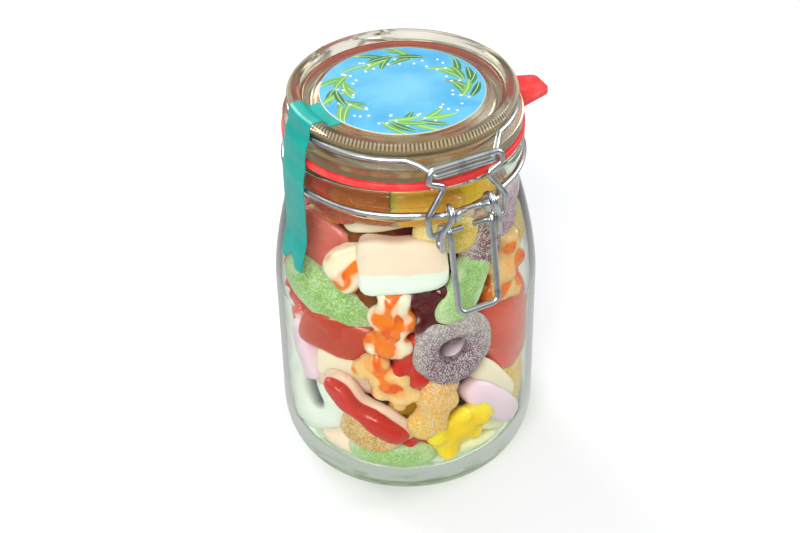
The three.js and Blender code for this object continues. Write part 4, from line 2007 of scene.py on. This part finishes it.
BEAR_MIDDLE = (
    Lump(8.0, 0.0, 1.0, 5.2, 5.8, 4.8),
    Lump(7.6, 0.0, 4.6, 2.8, 3.2, 2.0),
    Lump(0.6, 0.0, 0.6, 6.8, 6.8, 5.4),
    Lump(-5.6, 0.0, 0.2, 6.6, 7.4, 5.4),
)
BEAR_SIDE = (
    Lump(11.4, 3.9, 0.8, 2.7, 2.6, 2.4),
    Lump(2.6, 5.2, 2.8, 3.3, 3.2, 3.2),
    Lump(-8.4, 4.9, 2.4, 4.2, 3.9, 3.9),
)
FROG_MIDDLE = (
    Lump(9.0, 0.0, 0.6, 6.8, 7.2, 5.4),
    Lump(-0.5, 0.0, 0.8, 9.2, 7.6, 5.8),
    Lump(-9.5, 0.0, 0.4, 7.0, 7.2, 5.2),
)
FROG_SIDE = (
    Lump(12.6, 4.2, 1.0, 3.6, 3.6, 3.6),
    Lump(2.4, 6.0, 1.4, 4.8, 4.2, 4.2),
    Lump(-11.0, 5.6, 0.8, 5.2, 4.4, 4.4),
)


class Kind(Enum):
    """The kinds of sweet: the piece's name, its mould and its finish."""

    BLOCK = ("foam_blocks", BlockMould(35.0, 23.0, 15.0, hug=0.25, border=2.2), Foam)
    OVAL = (
        "sugared_ovals",
        PillowMould(43.0, 18.0, 12.5, hug=0.85, border=1.6, power=2.5, bow=2.4, ridge=0.5),
        SugarJelly,
    )
    PILLOW = ("jelly_pillows", CushionMould(28.0, 26.0, 10.0, hug=0.9, power=3.6), Jelly)
    BRICK = (
        "jelly_bricks",
        BlockMould(33.0, 15.5, 12.5, hug=0.85, border=9.0, power=4.2, taper=0.05),
        Jelly,
    )
    SOLE = (
        "jelly_soles",
        CushionMould(45.0, 15.0, 11.0, hug=0.8, power=2.8, overhang=1.9, waist=0.48, foot=5.5),
        Jelly,
    )
    BEAR = ("jelly_bears", FigureMould(24.0, 15.0, 10.0, 0.2, 9.0, BEAR_MIDDLE, BEAR_SIDE), Jelly)
    FROG = ("swirl_frogs", FigureMould(32.0, 21.0, 11.0, 0.5, 9.0, FROG_MIDDLE, FROG_SIDE, 32.0), Swirl)
    RING = ("sugared_ring_sweets", RingMould(67.0, 35.0, 11.0, hug=0.95), SugarJelly)
    ARCH = ("foam_arches", ArchMould(40.0, 28.0, 14.0, hug=0.7, border=0.5), Foam)
    STICK = ("foam_sticks", PillowMould(33.0, 11.0, 11.0, border=9.0, power=3.4), Foam)
    TONGUE = (
        "jelly_tongues",
        PillowMould(44.0, 26.0, 12.0, hug=1.0, border=9.0, power=2.8, taper=-0.3),
        Jelly,
    )
    DROP = ("sugared_drops", PillowMould(25.0, 18.0, 12.0, border=9.0, power=2.3, taper=-0.25), SugarJelly)
    WEDGE = ("swirl_wedges", BlockMould(25.0, 16.0, 13.0, border=9.0, power=3.0, taper=0.45), Swirl)

    def __init__(self, piece: str, mould: Mould, finish: type[SweetFinish]) -> None:
        """Stores the kind's name, mould and finish."""
        self.piece = piece
        self.mould = mould
        self.finish = finish


@dataclass(frozen=True)
class Sweet:
    """One sweet against the wall of the jar.

    Attributes:
        kind: what kind it is.
        turn: degrees round the jar from the clasp, towards the seal's tab.
        height: millimetres above the table.
        spin: degrees that its length is turned, in the plane of the wall.
        top: the tint of its upper layer.
        base: the tint of its lower layer, if that differs.
        depth: millimetres from the glass.
        size: its size as a share of its mould's.
        lean: degrees that its showing side is turned up.
        swing: degrees that its showing side is turned about the vertical.
    """

    kind: Kind
    turn: float
    height: float
    spin: float
    top: Tint
    base: Tint | None = None
    depth: float = 0.0
    size: float = 1.0
    lean: float = 0.0
    swing: float = 0.0

    @property
    def lower_tint(self) -> Tint:
        """The lower layer's tint."""
        return self.base or self.top


SHOWN_SWEETS = (
    Sweet(Kind.PILLOW, -96, 110, 62, Tint.RASPBERRY, Tint.ROSE, size=1.08, lean=6, swing=38),
    Sweet(Kind.BLOCK, -29, 115.5, 3, Tint.PEACH, Tint.MINT, lean=4),
    Sweet(Kind.WEDGE, -61, 109, 40, Tint.ORANGE, Tint.CREAM, depth=4, size=1.05, swing=25),
    Sweet(Kind.OVAL, -80, 88.5, -32, Tint.GREEN, Tint.LEAF_EDGE, size=1.16, lean=12, swing=34),
    Sweet(Kind.BRICK, -69, 72, -10, Tint.BRICK_RED, depth=1, size=1.2, lean=12, swing=24),
    Sweet(Kind.BLOCK, -66, 54, -4, Tint.CREAM, Tint.ROSE, depth=4, size=0.9, swing=24),
    Sweet(Kind.STICK, -88, 60, -60, Tint.PINK, depth=1, size=0.85),
    Sweet(Kind.ARCH, -100, 30, -62, Tint.MINT, Tint.GREEN, size=1.1, lean=14, swing=36),
    Sweet(Kind.SOLE, -50, 41, -36, Tint.RED, Tint.ROSE, size=1.04, lean=-4),
    Sweet(Kind.FROG, -35, 90.5, 82, Tint.ORANGE, Tint.CREAM),
    Sweet(Kind.FROG, -38, 59, -48, Tint.ORANGE, Tint.AMBER_CREAM, depth=2, size=0.95),
    Sweet(Kind.BEAR, -17, 99, 100, Tint.MAROON, depth=2, size=1.1),
    Sweet(Kind.BEAR, -25, 69, -75, Tint.RED, depth=3, size=1.15),
    Sweet(Kind.RING, -9, 60, 76, Tint.PURPLE, Tint.APRICOT),
    Sweet(Kind.STICK, 4, 66, 20, Tint.PINK, depth=7.5, size=0.9),
    Sweet(Kind.OVAL, 3, 104, 50, Tint.GREEN, Tint.LEAF_EDGE, size=0.84, lean=8),
    Sweet(Kind.DROP, 0, 127, -30, Tint.PALE_YELLOW, depth=1, size=1.15),
    Sweet(Kind.DROP, 20, 118, 60, Tint.PLUM, size=1.0),
    Sweet(Kind.DROP, 45, 122, 60, Tint.LILAC, size=1.5, swing=-15),
    Sweet(Kind.FROG, 36, 99, 84, Tint.ORANGE, Tint.AMBER_CREAM, swing=-28),
    Sweet(Kind.TONGUE, 44, 64, -80, Tint.CORAL, size=1.12, swing=-24),
    Sweet(Kind.DROP, 52, 28, -85, Tint.YELLOW, depth=1, size=1.5, swing=-25),
    Sweet(Kind.STICK, 25, 32.5, -50, Tint.PINK, depth=0.5, size=1.2, swing=-10),
    Sweet(Kind.STICK, 29, 41, -55, Tint.CREAM, depth=3, size=1.1, swing=-10),
    Sweet(Kind.STICK, 24, 23, -40, Tint.LEMON_CREAM, depth=3, size=1.0),
    Sweet(Kind.STICK, 14, 14, -15, Tint.LEMON_CREAM, depth=2, size=0.9),
    Sweet(Kind.BEAR, 1, 29.5, 25, Tint.LEMON, size=1.2),
    Sweet(Kind.OVAL, -37, 15.5, 2, Tint.GREEN, Tint.LEAF_EDGE, size=0.88, lean=16),
    Sweet(Kind.STICK, -69, 12, 10, Tint.PEACH, Tint.CREAM, depth=1, size=0.9),
    Sweet(Kind.DROP, -49, 28, -15, Tint.AMBER, depth=3, size=1.1),
    Sweet(Kind.BEAR, -18, 27, 0, Tint.RED, depth=7, size=0.8),
    Sweet(Kind.BRICK, -16, 141, -6, Tint.AMBER, depth=2, size=0.9),
    Sweet(Kind.BRICK, -50, 141, 5, Tint.BROWN, depth=2, size=0.95),
    Sweet(Kind.BRICK, -84, 139, -20, Tint.BRICK_RED, Tint.BROWN, depth=2, size=0.95),
    Sweet(Kind.DROP, 62, 110, 80, Tint.PALE_YELLOW, size=1.1),
)

MIXED_SWEETS: tuple[tuple[Kind, Tint, Tint], ...] = (
    (Kind.OVAL, Tint.GREEN, Tint.LEAF_EDGE),
    (Kind.PILLOW, Tint.RED, Tint.ROSE),
    (Kind.BLOCK, Tint.PEACH, Tint.MINT),
    (Kind.BEAR, Tint.YELLOW, Tint.YELLOW),
    (Kind.FROG, Tint.ORANGE, Tint.CREAM),
    (Kind.SOLE, Tint.RED, Tint.ROSE),
    (Kind.DROP, Tint.PALE_YELLOW, Tint.PALE_YELLOW),
    (Kind.STICK, Tint.PINK, Tint.PINK),
    (Kind.BEAR, Tint.RED, Tint.RED),
    (Kind.WEDGE, Tint.ORANGE, Tint.CREAM),
    (Kind.ARCH, Tint.MINT, Tint.GREEN),
    (Kind.BRICK, Tint.CORAL, Tint.BRICK_RED),
    (Kind.STICK, Tint.CREAM, Tint.LEMON_CREAM),
    (Kind.BEAR, Tint.MAROON, Tint.MAROON),
    (Kind.DROP, Tint.PURPLE, Tint.PINK),
    (Kind.BRICK, Tint.YELLOW, Tint.AMBER),
    (Kind.TONGUE, Tint.CORAL, Tint.RED),
    (Kind.FROG, Tint.CORAL, Tint.WHITE),
)


@dataclass
class SweetHeap:
    """All the sweets: the ones that show in front listed one by one, the rest filled in round them."""

    jar: JarGlass
    seed: int = 11
    clear: float = 0.2
    wobble: float = 0.9
    wobble_pitch: float = 0.11
    lean_share: float = 0.8
    press_rounds: int = 4
    top_z: float = 150.5
    core_depth: float = 17.0
    core_wobble: float = 4.0
    core_pitch: float = 0.07
    core_steps: int = 64
    shells: tuple[float, ...] = (0.5, 8.0, 16.0)
    shell_tries: int = 3000
    shell_heights: tuple[float, float] = (12.0, 141.0)
    near: float = 60.0
    tightness: float = 0.82
    top_count: int = 15
    top_reach: float = 33.0
    top_height: float = 141.0
    top_size: float = 0.9
    top_lean: float = 74.0
    rng: random.Random = field(init=False)
    casts: dict[Kind, Mesh] = field(default_factory=dict)
    pools: dict[Kind, BMesh] = field(default_factory=dict)
    knots: list[np.ndarray] = field(default_factory=list)
    girths: list[float] = field(default_factory=list)

    def __post_init__(self) -> None:
        """Seeds the random numbers and the noise."""
        self.rng = random.Random(self.seed)
        noise.seed_set(self.seed)

    def build(self) -> None:
        """Places every sweet and makes one piece of each kind, and the core."""
        for sweet in SHOWN_SWEETS:
            self._add(sweet)
        for depth in self.shells:
            self._fill_shell(depth)
        self._fill_top()
        materials: dict[type[SweetFinish], Material] = {}
        for i, (kind, bm) in enumerate(self.pools.items()):
            if kind.finish not in materials:
                materials[kind.finish] = kind.finish().material()
            stands_for = ["candy_heap"] if i == 0 else []
            finished(bm, kind.piece, Body.JAR, materials[kind.finish], stands_for)
        for cast in self.casts.values():
            bpy.data.meshes.remove(cast)
        self._build_core()

    def _fill_shell(self, depth: float) -> None:
        """Fills one shell of the heap, at a depth from the glass, where there is room."""
        added = 0
        for _ in range(self.shell_tries):
            kind, top, base = self.rng.choice(MIXED_SWEETS)
            sweet = Sweet(
                kind,
                self.rng.uniform(-180.0, 180.0),
                self.rng.uniform(*self.shell_heights),
                self.rng.uniform(-90.0, 90.0),
                top,
                base,
                depth=depth + self.rng.uniform(0.0, 2.0),
                size=self.rng.uniform(0.85, 1.08),
                lean=self.rng.uniform(-14.0, 22.0),
                swing=self.rng.uniform(-16.0, 16.0),
            )
            if self._has_room(sweet):
                self._add(sweet)
                added += 1
        log.info("shell at %.1f mm: %d sweets", depth, added)

    def _fill_top(self) -> None:
        """Lays sweets flat on the heap's top, in a sunflower layout."""
        for i in range(self.top_count):
            kind, top, base = MIXED_SWEETS[(i * 7 + 3) % len(MIXED_SWEETS)]
            reach = self.top_reach * math.sqrt((i + 0.4) / self.top_count)
            turn = math.degrees(GOLDEN_ANGLE * i) % 360.0 - 180.0
            depth = self.jar.mouth_radius - reach - kind.mould.thickness / 2.0
            spin = self.rng.uniform(-80.0, 80.0)
            height, size, lean = self.top_height, self.top_size, self.top_lean
            self._add(Sweet(kind, turn, height, spin, top, base, depth, size, lean))

    def _place(self, sweet: Sweet) -> tuple[Matrix, Vector, Vector]:
        """Works out where a sweet goes, before it is pressed on the glass.

        Args:
            sweet: the sweet.

        Returns:
            Its matrix, its centre, and the level direction out of the jar.
        """
        turn = math.radians(sweet.turn)
        out = Vector((math.sin(turn), -math.cos(turn), 0.0))
        along = Vector((math.cos(turn), math.sin(turn), 0.0))
        up = Vector((0.0, 0.0, 1.0))
        spin = math.radians(sweet.spin)
        first = along * math.cos(spin) + up * math.sin(spin)
        second = up * math.cos(spin) - along * math.sin(spin)
        axes = Matrix((first, second, out)).transposed()
        tip = self.jar.lean(sweet.height) * self.lean_share + math.radians(sweet.lean)
        lean = Matrix.Rotation(-tip, 3, along)
        swing = Matrix.Rotation(math.radians(sweet.swing), 3, up)
        half = sweet.kind.mould.thickness * sweet.size / 2.0
        centre = out * (self.jar.inner_radius(sweet.height) - half - sweet.depth) + up * sweet.height
        return (swing @ lean @ axes).to_4x4(), centre, out

    def _has_room(self, sweet: Sweet) -> bool:
        """True if a sweet would lie clear of those already placed."""
        knots, girth = self._knots(sweet)
        placed, girths = np.stack(self.knots), np.array(self.girths)
        middles = np.linalg.norm(placed.mean(axis=1) - knots.mean(axis=0), axis=1)
        is_near = middles < self.near
        placed, girths = placed[is_near], girths[is_near]
        apart = np.linalg.norm(placed[:, :, None, :] - knots[None, None, :, :], axis=3)
        return bool((apart.min(axis=(1, 2), initial=np.inf) > (girths + girth) * self.tightness).all())

    def _knots(self, sweet: Sweet) -> tuple[np.ndarray, float]:
        """Points spread over a sweet's middle plane, and the half thickness round them."""
        mould = sweet.kind.mould
        matrix, centre, _ = self._place(sweet)
        girth = mould.thickness / 2.0 * sweet.size
        along = matrix.to_3x3() @ Vector((mould.length * sweet.size / 2.0 - girth, 0.0, 0.0))
        across = matrix.to_3x3() @ Vector((0.0, max(mould.width * sweet.size / 2.0 - girth, 0.0), 0.0))
        shares = (-1.0, -0.5, 0.0, 0.5, 1.0)
        knots = [centre + along * share + across * side for share in shares for side in (-0.9, 0.0, 0.9)]
        return np.array([list(knot) for knot in knots]), girth

    def _add(self, sweet: Sweet) -> None:
        """Casts one sweet, presses it on the glass and adds it to its kind's piece."""
        kind = sweet.kind
        if kind not in self.casts:
            self.casts[kind] = kind.mould.cast()
            self.pools[kind] = bmesh.new()
        knots, girth = self._knots(sweet)
        self.knots.append(knots)
        self.girths.append(girth)
        bm = bmesh.new()
        bm.from_mesh(self.casts[kind])
        self._make_uneven(bm)
        matrix, centre, out = self._place(sweet)
        bmesh.ops.scale(bm, vec=(sweet.size, sweet.size, sweet.size), verts=bm.verts)
        bmesh.ops.transform(bm, matrix=matrix, verts=bm.verts)
        self._hug_wall(bm, out, self.jar.inner_radius(sweet.height), kind.mould.hug)
        bmesh.ops.translate(bm, verts=bm.verts, vec=centre)
        self._press(bm, out, sweet.depth)
        self._mark(bm, sweet)
        passing = as_mesh(bm, "passing")
        self.pools[kind].from_mesh(passing)
        bpy.data.meshes.remove(passing)

    def _make_uneven(self, bm: BMesh) -> None:
        """Pushes a sweet's skin in and out a little, differently for each sweet."""
        shift = Vector([self.rng.uniform(-50.0, 50.0) for _ in range(3)])
        for vert in bm.verts:
            vert.co += noise.noise_vector(vert.co * self.wobble_pitch + shift) * self.wobble

    @staticmethod
    def _hug_wall(bm: BMesh, out: Vector, radius: float, hug: float) -> None:
        """Bends a sweet, centred on the origin, to the curve of the glass.

        Args:
            bm: the sweet.
            out: the level direction out of the jar.
            radius: the glass's inside radius.
            hug: 0 leaves it straight and 1 bends it fully.
        """
        along = Vector((-out.y, out.x, 0.0))
        for vert in bm.verts:
            side = vert.co.dot(along)
            vert.co -= out * (hug * side * side / (2.0 * radius))

    def _press(self, bm: BMesh, out: Vector, depth: float) -> None:
        """Moves a sweet in or out until it lies at its depth from the glass and off the floor.

        Args:
            bm: the sweet.
            out: the level direction out of the jar.
            depth: the distance from the glass.
        """
        for _ in range(self.press_rounds):
            low = min(vert.co.z for vert in bm.verts) - self.jar.floor - self.clear
            high = max(vert.co.z for vert in bm.verts) - self.top_z
            bmesh.ops.translate(bm, verts=bm.verts, vec=(0.0, 0.0, -min(low, 0.0) - max(high, 0.0)))
            over = max(
                math.hypot(vert.co.x, vert.co.y) - self.jar.inner_radius(vert.co.z) + self.clear
                for vert in bm.verts
            )
            bmesh.ops.translate(bm, verts=bm.verts, vec=out * -(over + depth))

    def _mark(self, bm: BMesh, sweet: Sweet) -> None:
        """Stores a sweet's tints, dimmed by its mould's painted shade, and its chance number on its points.
        """
        chance = self.rng.random()
        local = bm.verts.layers.float_vector[Mark.LOCAL.value]
        form = bm.verts.layers.float_vector[Mark.FORM.value]
        top_layer = bm.verts.layers.float_color.new(Mark.TOP.value)
        base_layer = bm.verts.layers.float_color.new(Mark.BASE.value)
        mould = sweet.kind.mould
        for vert in bm.verts:
            vert[form].z = chance
            # painted shade from the mould darkens both tints
            shade = mould.shade(vert[local])
            vert[top_layer] = (*(Vector(sweet.top.light) * shade), 1.0)
            vert[base_layer] = (*(mould.foot_tint(sweet, vert[local]) * shade), 1.0)

    def _build_core(self) -> None:
        """Makes the solid middle of the heap, behind the separate sweets."""
        heights = [9.0, 12.0, *range(20, 131, 6), 134.0]
        side = [(self.jar.inner_radius(z) - self.core_depth, float(z)) for z in heights]
        points = [Vector((r, 0.0, z)) for r, z in [(0.0, 9.0), *side, (0.0, 136.0)]]
        bm = turned(points, self.core_steps)
        for vert in bm.verts:
            vert.co += noise.noise_vector(vert.co * self.core_pitch) * self.core_wobble
        finished(bm, "sweets_core", Body.JAR, DeepSweets().material())


# ---- studio


@dataclass(frozen=True)
class Studio:
    """Camera, floor and soft light."""

    target: tuple[float, float, float] = (0.0, 0.0, 90.0)
    azimuth: float = -27.5
    elevation: float = 36.81
    distance: float = 695.0
    roll: float = 1.009
    lens: float = 73.97
    image_width: int = 800
    image_height: int = 533
    target_px: tuple[float, float] = (405.5, 254.7)
    world_strength: float = 0.62
    dark_share: float = 0.12
    front_share: float = 0.95
    low_share: float = 1.0
    floor_half_m: float = 6.0

    def build(self) -> None:
        """Makes the studio."""
        self._add_camera()
        self._add_floor()
        self._add_world()
        self._add_lamp("key_lamp", (-520.0, -560.0, 760.0), size=420.0, power=8.5)
        self._add_lamp("side_lamp", (720.0, -120.0, 430.0), size=300.0, power=3.5)
        self._add_lamp("back_lamp", (-160.0, 620.0, 620.0), size=420.0, power=4.5)
        scene = bpy.context.scene
        scene.view_settings.view_transform = "Standard"
        scene.view_settings.look = "None"

    def _add_camera(self) -> None:
        """Makes the camera at the photo's viewing angle."""
        azimuth, elevation, roll = (math.radians(a) for a in (self.azimuth, self.elevation, self.roll))
        level = Vector((math.cos(azimuth), math.sin(azimuth), 0.0))
        flat = math.cos(elevation)
        back = Vector((math.sin(azimuth) * flat, -math.cos(azimuth) * flat, math.sin(elevation)))
        steep = back.cross(level)
        right = level * math.cos(roll) - steep * math.sin(roll)
        up = level * math.sin(roll) + steep * math.cos(roll)
        data = bpy.data.cameras.new("camera")
        data.lens = self.lens
        data.sensor_width = 36.0
        data.clip_start = 10.0 * MM
        data.shift_x = (self.image_width / 2.0 - self.target_px[0]) / self.image_width
        data.shift_y = (self.target_px[1] - self.image_height / 2.0) / self.image_width
        camera = linked("camera", data)
        axes = Matrix((right, up, back)).transposed().to_4x4()
        place = (Vector(self.target) + back * self.distance) * MM
        camera.matrix_world = Matrix.Translation(place) @ axes
        bpy.context.scene.camera = camera

    def _add_floor(self) -> None:
        """Makes the floor."""
        bm = bmesh.new()
        bmesh.ops.create_grid(bm, x_segments=2, y_segments=2, size=self.floor_half_m)
        mesh = as_mesh(bm, "studio_floor")
        mesh.materials.append(StudioFloor().material())
        floor = linked("studio_floor", mesh)
        floor.visible_glossy = False

    def _add_world(self) -> None:
        """Surrounds the jar with light: bright overhead, dim at the horizon, mixed below."""
        world = bpy.data.worlds.new("studio_world")
        bpy.context.scene.world = world
        recipe = Recipe(world)
        x, y, height = recipe.out("ShaderNodeTexCoord", {}, {}, "Generated").parts()
        azimuth = math.radians(self.azimuth)
        behind = y * math.cos(azimuth) - x * math.sin(azimuth)
        low_share = recipe.blend(behind.step(-0.5, 0.3), (self.front_share,) * 3, (self.low_share,) * 3)
        colour = recipe.blend(height.step(0.15, 0.6), (self.dark_share,) * 3, (1.0, 1.0, 1.0))
        colour = recipe.blend(height.step(-0.1, -0.6), colour, low_share)
        light = recipe.out("ShaderNodeBackground", {}, {"Color": colour, "Strength": self.world_strength})
        recipe.node("ShaderNodeOutputWorld", {}, {"Surface": light})

    def _add_lamp(self, name: str, place: tuple[float, float, float], size: float, power: float) -> None:
        """Adds a square lamp that faces the jar.

        Args:
            name: the lamp's name.
            place: where it stands, in millimetres.
            size: the length of its side in millimetres.
            power: its power in watts.
        """
        data = bpy.data.lights.new(name, "AREA")
        data.shape = "SQUARE"
        data.size = size * MM
        data.energy = power
        lamp = linked(name, data)
        aim = (Vector(self.target) - Vector(place)).to_track_quat("-Z", "Y")
        lamp.matrix_world = Matrix.Translation(Vector(place) * MM) @ aim.to_matrix().to_4x4()


def main() -> None:
    """Builds the jar, its fittings, its sweets and the studio, in order."""
    logging.basicConfig(level=logging.INFO, format="%(name)s: %(message)s")
    jar = JarGlass()
    lid = LidGlass()
    glass = ClearGlass().material()
    Studio().build()
    jar.build(glass)
    lid.build(BeadedGlass().material())
    SealRing().build(SealRubber().material())
    LidLabel().build(LabelPaper().material())
    PaperRibbon(jar, lid).build(RibbonPaper().material())
    Wirework().build(BrightWire().material())
    SweetHeap(jar).build()


if __name__ == "__main__":
    main()
